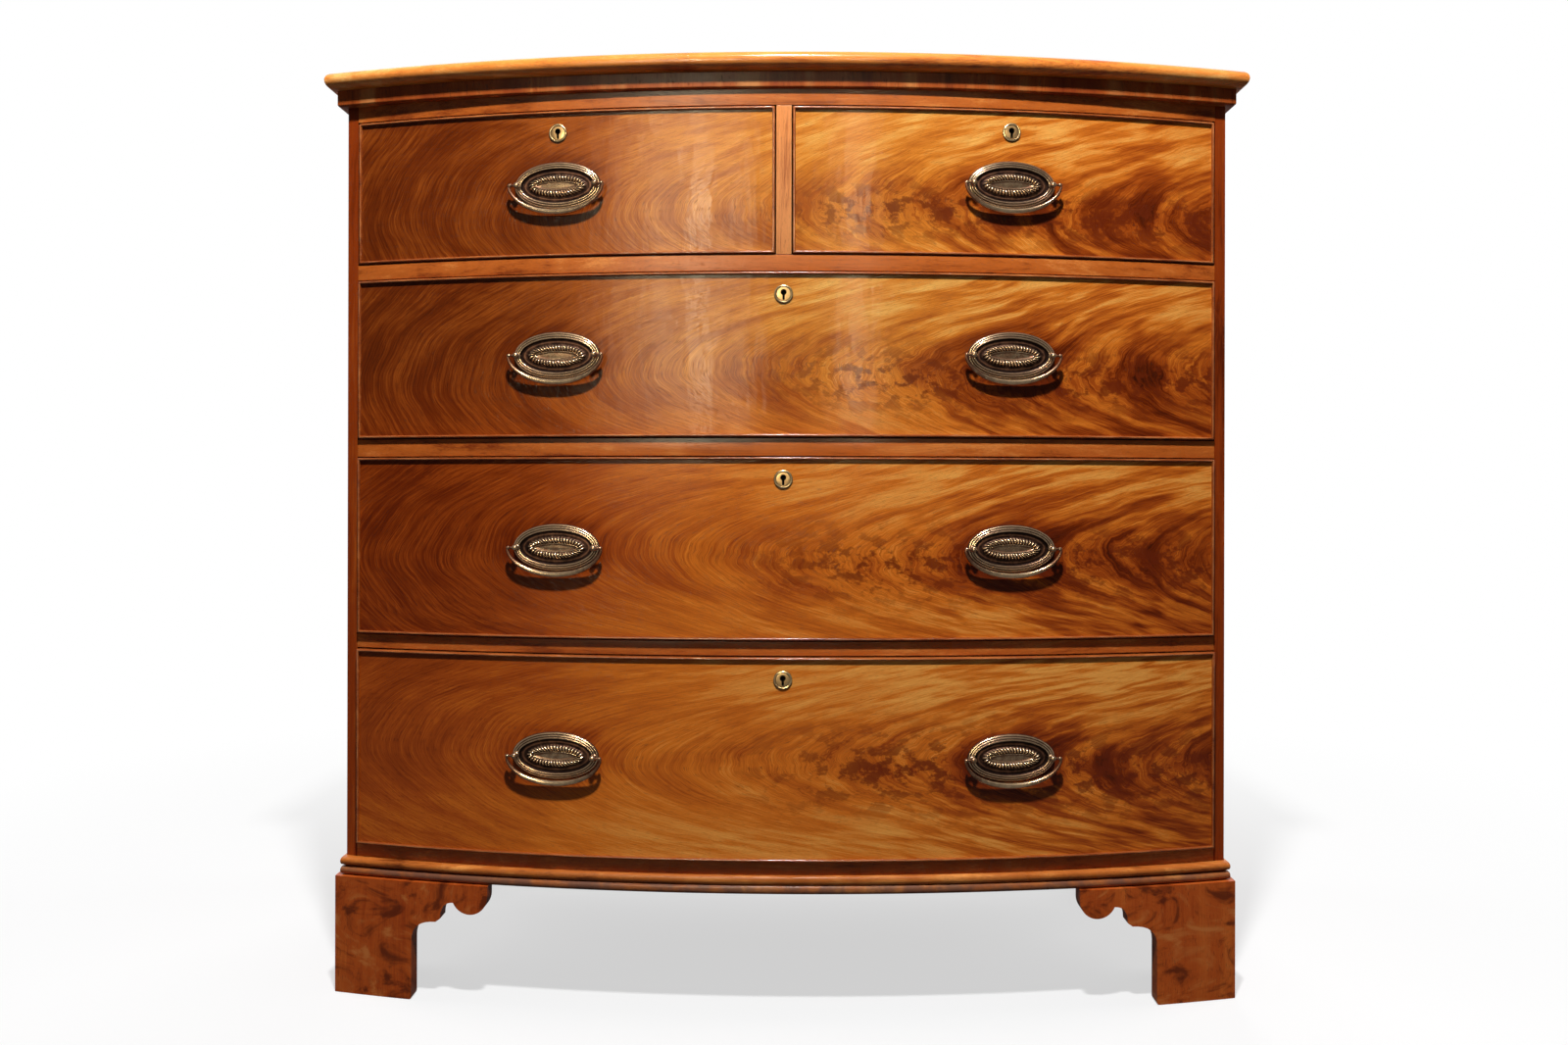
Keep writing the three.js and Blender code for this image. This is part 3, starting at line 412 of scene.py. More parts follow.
for name, (low, high) in HEIGHTS.items():
    faced(name, OPENING_HALF - JOINT_GAP, low, high, rail_wood, 120)
low, high = OPENINGS[0]
faced("centre_divider", 0.0085, low + JOINT_GAP, high - JOINT_GAP, divider_wood, 4)


# Top board: one solid mahogany board, its front and ends rounded by hand, bowed like the carcase.
# It overhangs the frieze, and it is glued and blocked down from inside.
TOP = 1.070
TOP_SIDE_OVERHANG, TOP_FRONT_OVERHANG = 0.0223, 0.018


def outer_bow(x, front, corner, reach):
    """A circle through the three points where a piece stands out by front in the middle and by
    corner at its corners, at reach."""
    sag = BOW_SAG + front - corner
    radius = (reach**2 + sag**2) / (2 * sag)
    return CORNER_Y + radius - sag - corner - np.sqrt(radius**2 - x**2)


def top_board(steps=12, across=160):
    """Rings round the board from its underside up, over half a turn round its edge: each is the
    outline drawn in by half the thickness times 1 - cosine."""
    low, high = CARCASE_TOP + JOINT_GAP, TOP
    half = (high - low) / 2
    turn = np.linspace(-np.pi / 2, np.pi / 2, steps + 1)[:, None]
    inset = half * (1 - np.cos(turn))
    z = low + half * (1 + np.sin(turn))
    reach = HALF_WIDTH + TOP_SIDE_OVERHANG - inset
    out = TOP_FRONT_OVERHANG - inset
    x = np.linspace(-1, 1, across + 1) * reach
    front = grid(x, outer_bow(x, out, out, reach), z)
    back = grid(np.concatenate([reach, -reach], 1), BACK_Y, z)
    return np.concatenate([front, back], 1)


def darker_above(place, colour):
    """The flat of the top is darker and redder than its rounded edge."""
    flat = between(coordinate(place, 2), TOP - 0.0016, TOP - 0.0002)
    return mixed(flat, colour, mixed(1.0, colour, (0.55, 0.42, 0.34, 1), "MULTIPLY"))


TOP_WOOD = [(160, 72, 26), (232, 138, 58), (252, 186, 104)]
top_wood = wood("mahogany_top", TOP_WOOD, LENGTHWISE, (0.3, 0.9, 0.4), 0.7, 0.16, 0.3,
                overlay=darker_above)
top = surface("top_board_shaped", top_board(), top_wood)
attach(top, "carcase")
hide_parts("top_board")


# Frieze moulding: a plain band glued round the carcase under the top, cross-banded, so that its
# grain stands upright and its colour changes from one short piece to the next.
FRIEZE_LOW = 1.032
FRIEZE_FACE = np.array([0.010, 0.005, 0.008])
FRIEZE_ARRIS = 0.0022


def carried_round(section, across=150, run=24):
    """A section of (side, front, corner, height) points, the first three saying how far it stands
    proud, carried round the bow, and from its end rings in even steps back to BACK_Y."""
    side, front, corner, z = section.T
    reach = HALF_WIDTH + side
    x = np.linspace(-1, 1, across + 1)[:, None] * reach
    bowed = grid(x, outer_bow(x, front, corner, reach), z)
    share = np.linspace(0, 1, run + 1)[1:, None]
    ends = [ring.T for ring in (bowed[0], bowed[-1])]
    left, right = (grid(x, y + share * (BACK_Y - y), z) for x, y, z in ends)
    return np.concatenate([left[::-1], bowed, right])


def frieze_section(steps=5):
    """Up the face from a quarter round at its foot, of FRIEZE_ARRIS * (cosine, 1 + sine)."""
    turn = np.linspace(-np.pi / 2, 0, steps + 1)[:, None]
    out = FRIEZE_FACE - FRIEZE_ARRIS + FRIEZE_ARRIS * np.cos(turn)
    rounded = np.concatenate([out, FRIEZE_LOW + FRIEZE_ARRIS + FRIEZE_ARRIS * np.sin(turn)], 1)
    outer = [[*FRIEZE_FACE, CARCASE_TOP], [JOINT_GAP] * 3 + [CARCASE_TOP]]
    return np.concatenate([[[JOINT_GAP] * 3 + [FRIEZE_LOW]], rounded, outer])


def pieced(place, colour):
    """Soft upright blocks of darker red and of gold, one for each short piece."""
    blocks = stretched(place, (24, 24, 3), 2, 0.5)
    colour = laid_over(colour, (126, 44, 20), blocks, 0.36, 0.50, 0.55, 0.0)
    return laid_over(colour, (214, 146, 84), blocks, 0.52, 0.68, 0.0, 0.6)


BAND = [(98, 34, 10), (166, 78, 30), (206, 124, 60)]
frieze_wood = wood("mahogany_crossbanded", BAND, UPRIGHT, (0.4, 0.3, 0.8), 0.5, 0.3, 0.1,
                   overlay=pieced, scale=(0.25, 0.25, 1))
frieze = surface("frieze_moulding_shaped", carried_round(frieze_section()), frieze_wood, angle=40)
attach(frieze, "carcase")
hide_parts("frieze_moulding")


# Base moulding: two run beads with a quirk between them, mitred at the corners, glued and pinned.
BASE_LOW, BASE_HIGH = 0.1353, 0.1555
BEAD_SIDE, BEAD_FRONT, BEAD_CORNER, BEAD_NECK = 0.0045, 0.0055, 0.010, 0.0016
QUIRK_HALF = 0.0004


def bead_section():
    """Two half rounds over each other, each out from the neck by the cosine to the power 0.7."""
    middle = (BASE_LOW + BASE_HIGH) / 2
    turn = np.linspace(-np.pi / 2, np.pi / 2, 9)
    parts = [[JOINT_GAP] * 3 + [BASE_LOW]]
    for low, high in ((BASE_LOW, middle - QUIRK_HALF), (middle + QUIRK_HALF, BASE_HIGH)):
        out = BEAD_NECK + (BEAD_FRONT - BEAD_NECK) * np.cos(turn) ** 0.7
        z = (low + high) / 2 + (high - low) / 2 * np.sin(turn)
        side, corner = out * BEAD_SIDE / BEAD_FRONT, out * BEAD_CORNER / BEAD_FRONT
        parts += np.stack([side, out, corner, z], 1).tolist()
    return np.array([*parts, [JOINT_GAP] * 3 + [BASE_HIGH]])


def greyer_below(place, colour):
    """The lower bead is darker and greyer, in patches."""
    grey_patches = between(stretched(place, (40, 40, 40), 3, 0.6), 0.35, 0.6, 0.35, 0.85)
    below = between(coordinate(place, 2), 0.1446, 0.1460, 1.0, 0.0)
    return mixed(times(below, grey_patches), colour, linear(108, 74, 62))


BASE = [(104, 44, 14), (190, 104, 42), (234, 152, 76)]
base_wood = wood("mahogany_base", BASE, LENGTHWISE, (0.9, 0.1, 0.6), 1.2, 0.26, overlay=greyer_below)
base = surface("base_moulding_shaped", carried_round(bead_section()), base_wood, angle=50)
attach(base, "carcase")
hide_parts("base_moulding")


# Bracket feet: two mitred boards to each front foot, sawn to a scroll and veneered, a glue block
# behind. A rear foot has one such board along the side and a plain sloping one across the back.
FOOT_TOP = 0.135
FOOT_PROUD, FOOT_CORNER_PROUD = 0.009, 0.013
FOOT_THICKNESS = 0.022
FOOT_REACH = 0.1875
FOOT_LEG = 0.096
SCROLL_RADIUS = 0.0215
FOOT_OUTER = HALF_WIDTH + FOOT_PROUD
BLOCK_SIZE, BLOCK_CORNER, BLOCK_TOP, BLOCK_FOOT = 0.034, 0.008, FOOT_TOP + 0.010, 0.0005
SLOPE_THICKNESS, SLOPE_START, SLOPE_REACH = 0.020, FOOT_THICKNESS + JOINT_GAP, 0.150


def quadratic(a, b, c, steps=8):
    """Points of the curve (1-t)^2 a + 2t(1-t) b + t^2 c, its start left out."""
    t = np.linspace(0, 1, steps + 1)[1:, None]
    return (1 - t) ** 2 * np.array(a) + 2 * t * (1 - t) * np.array(b) + t**2 * np.array(c)


def bracket_outline():
    """The outline from its outer corner inwards: leg, hollow, nose, hollow, scroll and top. The
    hollows are quadratic curves, and the scroll is an arc from 205 to 360 degrees."""
    run = FOOT_REACH - SCROLL_RADIUS - FOOT_LEG
    centre = np.array([FOOT_REACH - SCROLL_RADIUS, FOOT_TOP * 0.914])
    turn = np.linspace(math.radians(205), 2 * np.pi, 28)[:, None]
    scroll = centre + SCROLL_RADIUS * np.concatenate([np.cos(turn), np.sin(turn)], 1)
    cusp = scroll[0]
    knee = [FOOT_LEG, FOOT_TOP * 0.5]
    nose = [FOOT_LEG + run * 0.42, FOOT_TOP * 0.675]
    hollow = [FOOT_LEG + run * 0.5, FOOT_TOP * 0.705]
    arris, toe = 0.0012, 0.0035
    parts = [
        [[0, arris]],
        quadratic([0, arris], [0, 0], [arris, 0], 4),
        [[FOOT_LEG - toe, 0]],
        quadratic([FOOT_LEG - toe, 0], [FOOT_LEG, 0], [FOOT_LEG, toe], 6),
        [knee],
        quadratic(knee, [FOOT_LEG, nose[1]], nose),
        [hollow],
        quadratic(hollow, [hollow[0], cusp[1]], cusp),
        scroll[1:],
        [[FOOT_REACH, FOOT_TOP], [0, FOOT_TOP]],
    ]
    return np.concatenate([np.array(part, float) for part in parts])


def board(name, outline, thickness, material, mitre=None, cuts=(), bend=None):
    """A flat outline in space carried through its thickness, cut off at the mitre's plane, given
    as a point and the way off, cut across at each x so that it can bend, and bent."""
    count = len(outline)
    points = np.concatenate([outline, outline + thickness])
    k = np.arange(count)
    following = (k + 1) % count
    edges = np.stack([following, k, k + count, following + count], 1)
    mesh = bpy.data.meshes.new(name)
    mesh.from_pydata(points.tolist(), [], [k.tolist(), (k[::-1] + count).tolist(), *edges.tolist()])
    work = bmesh.new()
    work.from_mesh(mesh)

    def sawn(point, way, off):
        """Cuts the board by a plane through a point. If off is true, what lies beyond goes."""
        everything = work.verts[:] + work.edges[:] + work.faces[:]
        bmesh.ops.bisect_plane(work, geom=everything, plane_co=point, plane_no=way, clear_outer=off)

    if mitre:
        sawn(*mitre, True)
        bmesh.ops.holes_fill(work, edges=work.edges[:], sides=0)
    bmesh.ops.triangulate(work, faces=work.faces[:])
    for x in cuts:
        sawn((x, 0, 0), (1, 0, 0), False)
    bmesh.ops.remove_doubles(work, verts=work.verts[:], dist=1e-6)
    bmesh.ops.recalc_face_normals(work, faces=work.faces[:])
    work.to_mesh(mesh)
    work.free()
    if bend:
        points = np.array([vertex.co[:] for vertex in mesh.vertices])
        mesh.vertices.foreach_set("co", bend(points).ravel())
    return finished(name, mesh, material, 30)


def blotched(place, colour):
    """Broad dark and pale flames across the foot."""
    flames = stretched(place, (15, 15, 24), 4, 0.6, 1.6)
    colour = laid_over(colour, (92, 32, 10), flames, 0.34, 0.50, 0.85, 0.0)
    return laid_over(colour, (206, 124, 62), flames, 0.52, 0.68, 0.0, 0.8)


FOOT_WOOD = [(164, 64, 18), (188, 84, 28), (208, 106, 40)]
BLOCK_WOOD = [(110, 78, 48), (160, 122, 80), (186, 150, 104)]
foot_wood = wood("mahogany_foot", FOOT_WOOD, UPRIGHT, (0.5, 0.2, 0.9), 0.7, 0.34,
                 overlay=blotched, scale=(0.5, 0.5, 1))
block_wood = wood("softwood_block", BLOCK_WOOD, UPRIGHT, gloss=0.7)


def across(outline, hand, y):
    """An outline of (distance from the outer corner, height), set across the front or back at y."""
    return grid(hand * (FOOT_OUTER - outline[:, 0]), y, outline[:, 1])


def along(outline, hand, y, direction):
    """The same outline set along the side, from the corner at y."""
    return grid(hand * FOOT_OUTER, y + direction * outline[:, 0], outline[:, 1])


def foot_front(x):
    """How far back the front feet's own bow lies at x."""
    return outer_bow(x, FOOT_PROUD, FOOT_CORNER_PROUD, FOOT_OUTER)


def foot_bend(points):
    """Each point moved back by that much."""
    return points + grid(0, foot_front(points[:, 0]), 0)


def glue_block(name, hand, y, direction):
    """An upright of square section with its inner corner planed off, as a ring carried up."""
    inner, size, planed = FOOT_OUTER - FOOT_THICKNESS, BLOCK_SIZE, BLOCK_SIZE - BLOCK_CORNER
    u = np.array([0, size, size, planed, BLOCK_CORNER, 0])
    v = np.array([0, 0, planed, size, size, planed])
    z = np.array([[BLOCK_FOOT], [BLOCK_TOP]])
    return surface(name, grid(hand * (inner - u), y + direction * v, z), block_wood)


slope = [(SLOPE_START, 0), (FOOT_LEG, 0), (FOOT_LEG, FOOT_TOP * 0.5), (SLOPE_REACH, FOOT_TOP)]
slope = np.array([*slope, (SLOPE_START, FOOT_TOP)])
front_y = foot_front(FOOT_OUTER)
inner_y = foot_front(FOOT_OUTER - FOOT_THICKNESS) + FOOT_THICKNESS
cuts = np.arange(0.34, FOOT_OUTER, 0.009)
shape = bracket_outline()
rear_y = BACK_Y - SLOPE_THICKNESS - JOINT_GAP
backward, forward = np.array([0, FOOT_THICKNESS, 0]), np.array([0, -SLOPE_THICKNESS, 0])
for side, hand in (("right", 1), ("left", -1)):
    inward = np.array([-hand * FOOT_THICKNESS, 0, 0])
    mitre = ((hand * FOOT_OUTER, 0, 0), (hand, 1, 0))
    front = board(f"foot_front_{side}_bracket", across(shape, hand, 0), backward, foot_wood,
                  mitre, hand * cuts, foot_bend)
    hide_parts(f"foot_front_{side}")
    mitre = ((hand * FOOT_OUTER, front_y, 0), (hand * (front_y - inner_y), -FOOT_THICKNESS, 0))
    rear = board(f"foot_rear_{side}_bracket", along(shape, hand, BACK_Y, -1), inward, foot_wood)
    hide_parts(f"foot_rear_{side}")
    outline = along(shape, hand, front_y, 1)
    parts = [
        front,
        rear,
        board(f"foot_front_{side}_return", outline, inward, foot_wood, mitre),
        board(f"foot_rear_{side}_slope", across(slope, hand, BACK_Y), forward, block_wood),
        glue_block(f"foot_front_{side}_block", hand, inner_y + JOINT_GAP, 1),
        glue_block(f"foot_rear_{side}_block", hand, rear_y, -1),
    ]
    for part in parts:
        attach(part, "carcase")


# Back and dustboards: plain softwood boards, planed but not polished, dusty and darkened with age.
dust, given, out = group("dust", {"Vector": "Vector", "Color": "Color"}, {"Color": "Color"})
stains = stretched(given["Vector"], (4, 4, 4), 4, 0.6)
grey = stretched(given["Vector"], (11, 11, 11), 3, 0.7)
stained = laid_over(given["Color"], (82, 58, 38), stains, 0.48, 0.68, 0.0, 0.5)
join(out, {"Color": laid_over(stained, (176, 164, 148), grey, 0.52, 0.75, 0.0, 0.25)})


def aged(place, colour):
    """Old stains and grey dust, laid over the colour in broad patches."""
    inputs = {"Vector": place, "Color": colour}
    return node(place.id_data, "ShaderNodeGroup", inputs, node_tree=dust).outputs["Color"]


PLAIN = [(118, 80, 46), (166, 124, 78), (192, 154, 104)]
ROUGH = (0.3, 0.62, 0.3, 0.0003, aged)
back_wood = wood("softwood_upright", PLAIN, UPRIGHT, (0.1, 0.7, 0.2), *ROUGH)
board_wood = wood("softwood_flat", PLAIN, LENGTHWISE, (0.6, 0.3, 0.4), *ROUGH)
dressed("back_panel", back_wood)
for level in ("upper", "middle", "lower"):
    dressed(f"dustboard_{level}", board_wood)


# Drawers: boxes of thin plain wood, dovetailed into thick bowed fronts, with their bottoms let in.
# The grain of the sides and the bottom runs from front to back.
FRONT_TO_BACK = (0, 0, math.radians(90))
LINING = [(132, 88, 50), (178, 130, 82), (204, 162, 112)]
SMOOTH = (0.3, 0.55, 0.3, 0.0002, aged)
lining_wood = wood("drawer_lining", LINING, FRONT_TO_BACK, (0.3, 0.2, 0.5), *SMOOTH)
END, HANDLE_X, DRAWER_GAP = 0.4986, 0.256, 0.0014
PAIR = {"_left": -HANDLE_X, "_right": HANDLE_X}
SHORT = (*OPENINGS[0], -0.001)
SHORT_Z = sum(OPENINGS[0]) / 2 - 0.0024
# Left and right ends, opening's foot and head, how far proud, lock's x, handles' x, their height.
DRAWERS = {
    "drawer_short_left": (-END, -0.0099, *SHORT, -HANDLE_X, {"": -HANDLE_X}, SHORT_Z),
    "drawer_short_right": (0.0099, END, *SHORT, HANDLE_X, {"": HANDLE_X}, SHORT_Z),
    "drawer_long_upper": (-END, END, *OPENINGS[1], 0.0012, 0.0, PAIR, 0.73595),
    "drawer_long_middle": (-END, END, *OPENINGS[2], 0.0024, 0.0, PAIR, 0.51935),
    "drawer_long_lower": (-END, END, *OPENINGS[3], 0.0046, 0.0, PAIR, 0.2852),
}
for name in DRAWERS:
    dressed(f"{name}_box", lining_wood)
    dressed(f"{name}_front", rail_core)


# Veneer: a sheet of crotch mahogany on each front, sawn where a limb leaves the trunk and laid
# sideways, one sheet after another from the same log, so that all rows show the same flame.
# Its grain lines are nested arcs: they leave a rib along the middle and sweep away to the right.
BEAD_WIDTH = 0.003
KEYHOLE_DROP = 0.026
VENEER_THICKNESS, VENEER_GAP = 0.0009, 0.00005
ROWS = dict(zip(DRAWERS, (0, 0, 1, 2, 3)))
# The third of these lightens each row's veneer, the lower rows more: painted light that makes up
# for the key lamp's weaker light lower down.
RIBS, BENDS, PAINTED_ROW_LIGHT = (0.31, 0.37, 0.44, 0.48), (7, 8, 12, 16), (0.02, 0.02, 0.05, 0.11)


def hump(x, middle, width):
    """A smooth bump, 1 at its middle."""
    return np.exp(-(((x - middle) / width) ** 2))


def step(x, low, high):
    """Eased from 0 at low to 1 at high."""
    share = np.clip((x - low) / (high - low), 0, 1)
    return share * share * (3 - 2 * share)


def noted(made, label, values):
    """A piece with a number kept for each of its points, which its material reads."""
    spread = np.broadcast_to(np.asarray(values, np.float32), len(made.data.vertices))
    made.data.attributes.new(label, "FLOAT", "POINT").data.foreach_set("value", spread.copy())
    return made


def reads(tree, label):
    """The number kept for each point under that label."""
    return node(tree, "ShaderNodeAttribute", attribute_name=label).outputs["Fac"]


def flame_lines(x, z, low, high, row):
    """Which grain line a point is on (t), how far along it from the rib it lies (s), and its
    height over the rib (v), in half rows. The lines are x = t + bend * v^2 / sqrt(1 + (v / 0.12)^2)
    with v in metres, and the bend grows to the right."""
    rib = low + (RIBS[row] + 0.03 * np.sin(2.4 * x + row)) * (high - low)
    v = z - (rib + 0.004 * np.sin(11 * x + 2 * row))
    bend = BENDS[row] + 20 * step(x, -0.50, 0.05)
    t = x - bend * v**2 / np.sqrt(1 + (v / 0.12) ** 2)
    lapped = np.abs(np.sin(np.pi * v / 0.026 + 5 * x))
    t = t + 0.008 * lapped * hump(x, 0.08, 0.20) * hump(v, -0.006, 0.03)
    t = t + 0.0022 * np.sin(v / 0.010 + 9 * x) * hump(x, -0.40, 0.14)
    s = v * np.sqrt(1 + (bend * v) ** 2)
    return t.ravel(), s.ravel(), (2 * v / (high - low)).ravel()


def marks(start, middle, end, pitch=0.004):
    """Even marks from start to end, with one space of a pitch about the middle."""
    before = np.linspace(start, middle - pitch / 2, round((middle - start) / pitch))
    after = np.linspace(middle + pitch / 2, end, round((end - middle) / pitch))
    return np.concatenate([before, after])


def veneer(name):
    """A sheet on the true bow, its points pushed away from the keyhole's middle, and the one face
    left there taken out. Its UV map holds t and s, its numbers how wild, curled and light it is."""
    x0, x1, low, high, proud, lock_x, handles, handle_z = DRAWERS[name]
    edge = BEAD_WIDTH + VENEER_GAP
    lock_z = high - KEYHOLE_DROP
    x = marks(x0 + edge, lock_x, x1 - edge)
    z = marks(low + DRAWER_GAP + edge, lock_z, high - DRAWER_GAP - edge)
    gx, gz = np.meshgrid(x, z, indexing="ij")
    dx, dz = gx - lock_x, gz - lock_z
    away = np.hypot(dx, dz)
    reach, clear = 0.017, 0.0088
    pushed = np.where(away < reach, clear + away * (reach - clear) / reach, away) / away
    gx, gz = lock_x + dx * pushed, lock_z + dz * pushed
    points = grid(gx, bow(gx, proud + VENEER_GAP), gz)
    made = surface(f"{name}_veneer", points, flame, closed_columns=False)
    mesh = made.data
    work = bmesh.new()
    work.from_mesh(mesh)
    lock = Vector((lock_x, bow(lock_x, proud), lock_z))
    hole = min(work.faces, key=lambda face: (face.calc_center_median() - lock).length)
    bmesh.ops.delete(work, geom=[hole], context="FACES_ONLY")
    for border in work.edges:
        border.smooth = not border.is_boundary
    work.to_mesh(mesh)
    work.free()
    row = ROWS[name]
    t, s, v = flame_lines(gx, gz, low, high, row)
    corner = [loop.vertex_index for loop in mesh.loops]
    figure = np.stack([t[corner], s[corner]], 1).astype(np.float32)
    mesh.uv_layers.new(name="figure").data.foreach_set("uv", figure.ravel())
    x, z = gx.ravel(), gz.ravel()
    calm_edges = 1 - 0.5 * step(np.abs(v), 0.6, 1.3)
    wild = 0.10 + 0.25 * step(x, -0.25, 0.05) + 0.60 * step(x, 0.05, 0.28) * calm_edges
    curl = step(x, -0.12, 0.12) * hump(v, -0.08, 0.38)
    shade = 0.22 + 0.29 * step(x, -0.44, -0.06) + 0.05 * step(x, -0.1, 0.1)
    shade += 0.17 * step(v, 0.15, 0.9) * step(x, -0.30, 0.15)
    shade += 0.08 * step(-v, 0.3, 0.8) * hump(x, 0.0, 0.3)
    shade -= 0.20 * hump(v, -0.02, 0.40) * step(x, 0.02, 0.30)
    shade -= 0.11 * step(-v, 0.2, 0.7) * step(x, 0.2, 0.45)
    shade -= 0.09 * step(x, 0.28, 0.50)
    # Painted light: each row is lightened, and the lowest drawer's left part more, where the key
    # lamp's light is weaker.
    shade += PAINTED_ROW_LIGHT[row]
    if row == 3:
        shade += 0.07 * step(-x, 0.0, 0.3) + 0.10 * step(-v, 0.1, 0.6) * step(-x, -0.2, 0.1)
    for handle_x in handles.values():
        around = np.hypot((x - handle_x) / 0.058, (z - handle_z) / 0.034)
        shade -= 0.13 * hump(around, 0.85, 0.32)
    for label, values in (("wild", wild), ("curl", curl), ("shade", shade), ("sheet", row)):
        noted(made, label, values)
    sheet = made.modifiers.new("thickness", "SOLIDIFY")
    sheet.thickness = VENEER_THICKNESS
    sheet.offset = -1
    return made


flame, tree, shader, place = new_finish("mahogany_flame")
lines = node(tree, "ShaderNodeUVMap", uv_map="figure").outputs[0]
sheet, wild, curl, shade = (reads(tree, label) for label in ("sheet", "wild", "curl", "shade"))
eddies, curls = stretched(place, (7, 7, 10), 2, 0.5), stretched(place, (40, 40, 36), 3, 0.6)
bent = swayed(0.0, eddies, times(wild, 0.060, 0.02))
bent = swayed(bent, curls, times(curl, 0.034, 0.004))
t = arithmetic("ADD", coordinate(lines, 0), bent)
line = {0: t, 1: coordinate(lines, 1), 2: times(sheet, 0.35)}
line = node(tree, "ShaderNodeCombineXYZ", line).outputs[0]
broad = stretched(line, (26, 9, 1), 2, 0.5, 0.4)
narrow = stretched(line, (85, 12, 1.5), 3, 0.55, 0.1)
thin = stretched(line, (210, 18, 1.5), 2, 0.5)
fine = stretched(line, (620, 14, 2), 2, 0.65)
mottle = stretched(line, (16, 36, 1), 2, 0.55)
hair = stretched(line, (1500, 50, 3), 1, 0.6)
uneven = stretched(line, (9, 7, 1), 2, 0.5)
spacing = times(uneven, 6.0, times(t, 110))
ring = arithmetic("FRACT", spacing)
rings = times(times(ring, -0.9, 1.0), between(ring, 0.0, 0.14))
flamed = between(broad, 0.33, 0.67, -0.5, 0.5)
tone = times(flamed, times(wild, 0.38, 0.05), shade)
AMOUNTS = [(narrow, 0.12, 0.10), (thin, 0.22, 0.14), (mottle, 0.30, 0.08), (fine, 0.24, 0.38)]
for noise, by_wild, always in AMOUNTS:
    tone = swayed(tone, noise, times(wild, by_wild, always))
faded = between(stretched(place, (8, 8, 12), 2), 0.38, 0.62, 0.02, 0.09)
tone = swayed(times(rings, times(wild, -0.04, faded), tone), hair, 0.22)
ramp = node(tree, "ShaderNodeValToRGB", {"Fac": tone})
STOPS = {0.0: (58, 18, 4), 0.25: (112, 38, 6), 0.48: (168, 74, 18), 0.72: (216, 116, 32),
         0.97: (240, 164, 76)}
while len(ramp.color_ramp.elements) < len(STOPS):
    ramp.color_ramp.elements.new(0.5)
for stop, (position, colour) in zip(ramp.color_ramp.elements, STOPS.items()):
    stop.position = position
    stop.color = linear(*colour)
pores = between(stretched(line, (1600, 110, 2), 0), 0.64, 0.76)
colour = mixed(times(pores, 0.5), ramp.outputs[0], linear(58, 22, 6))
burr = between(stretched(place, (44, 44, 70), 4, 0.65), 0.48, 0.58, 0.0, 0.85)
colour = mixed(times(burr, curl), colour, linear(106, 36, 10))
# The upper rows are paler, greener and bluer over their left part: a painted sheen, the polish's
# reflection of light laid into the colour.
upper = between(coordinate(place, 2), 0.60, 0.76)
leftward = between(coordinate(place, 0), 0.05, 0.42, 1.0, 0.15)
colour = mixed(times(upper, leftward), colour, (0.95, 1.22, 1.5, 1), "MULTIPLY")
smears = stretched(place, (7, 7, 4), 3, 0.6)
rough = times(pores, 0.12, between(smears, 0.3, 0.7, 0.12, 0.22))
ripples = stretched(place, (70, 70, 30), 2, 0.5)
relief = times(ripples, 9.0, times(pores, -1.0, times(fine, 0.4)))
relieved(shader, relief, 0.35, 0.0001)
join(shader, {"Base Color": colour, "Roughness": rough, "Specular IOR Level": 0.18})

for name in DRAWERS:
    sheet_piece = veneer(name)
    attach(sheet_piece, name)


# Cockbeads: thin round-nosed strips of dark mahogany let into the edges of each front and mitred.
# They stand out past the veneer and keep its edges from harm.
BEAD_PROUD, BEAD_DEPTH = 0.003, 0.005


def cockbead(name, across=140, steps=6):
    """A section, a half round on a tongue, carried along the lower edge and back along the upper
    one, each point drawn in by its own inset, which mitres the corners."""
    x0, x1, low, high, proud, *_ = DRAWERS[name]
    nose = BEAD_WIDTH / 2
    turn = np.pi - np.pi * np.linspace(0, 1, steps + 1)
    inset = np.concatenate([[0], nose + nose * np.cos(turn), [BEAD_WIDTH]])
    out = np.concatenate([[-BEAD_DEPTH], BEAD_PROUD - nose + nose * np.sin(turn), [-BEAD_DEPTH]])
    share = np.linspace(0, 1, across + 1)[:, None]
    x = x0 + inset + share * (x1 - x0 - 2 * inset)
    y = bow(x, proud + out)
    lower, upper = grid(x, y, low + DRAWER_GAP + inset), grid(x, y, high - DRAWER_GAP - inset)
    rings = np.concatenate([lower, upper[::-1]])
    made = surface(f"{name}_cockbead_shaped", rings, bead_wood, closed_rows=True)
    crest = np.concatenate([[0], np.sin(turn) ** 2, [0]])
    return noted(made, "crest", np.tile(crest, 2 * len(share)))


def crest_wear_and_highlight(place, colour):
    """Pale along the crest, here more and there less: partly wear, partly a painted highlight where
    the key light catches the round nose.
    """
    crest = between(reads(place.id_data, "crest"), 0.6, 1.0)
    patches = between(stretched(place, (30, 30, 30), 3, 0.6), 0.40, 0.65, 0.0, 0.55)
    return mixed(times(crest, patches), colour, linear(214, 140, 84))


BEAD = [(104, 40, 14), (152, 74, 28), (190, 108, 50)]
bead_wood = wood("mahogany_cockbead", BEAD, LENGTHWISE, (0.4, 0.6, 0.7), 0.6, 0.17, 0.5,
                 overlay=crest_wear_and_highlight)
for name in DRAWERS:
    strip = cockbead(name)
    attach(strip, name)
    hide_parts(f"{name}_cockbead")


# Locks: cased brass locks let into the back of each front, with a steel bolt that is thrown up into
# the rail. A turned brass escutcheon, pressed in from the front, lines the keyhole.
KEY_RADIUS, KEY_SLOT_HALF, KEY_SLOT_DROP, KEY_RAISE = 0.0032, 0.0013, 0.0066, 0.0018
CASE_DROP = 0.0017


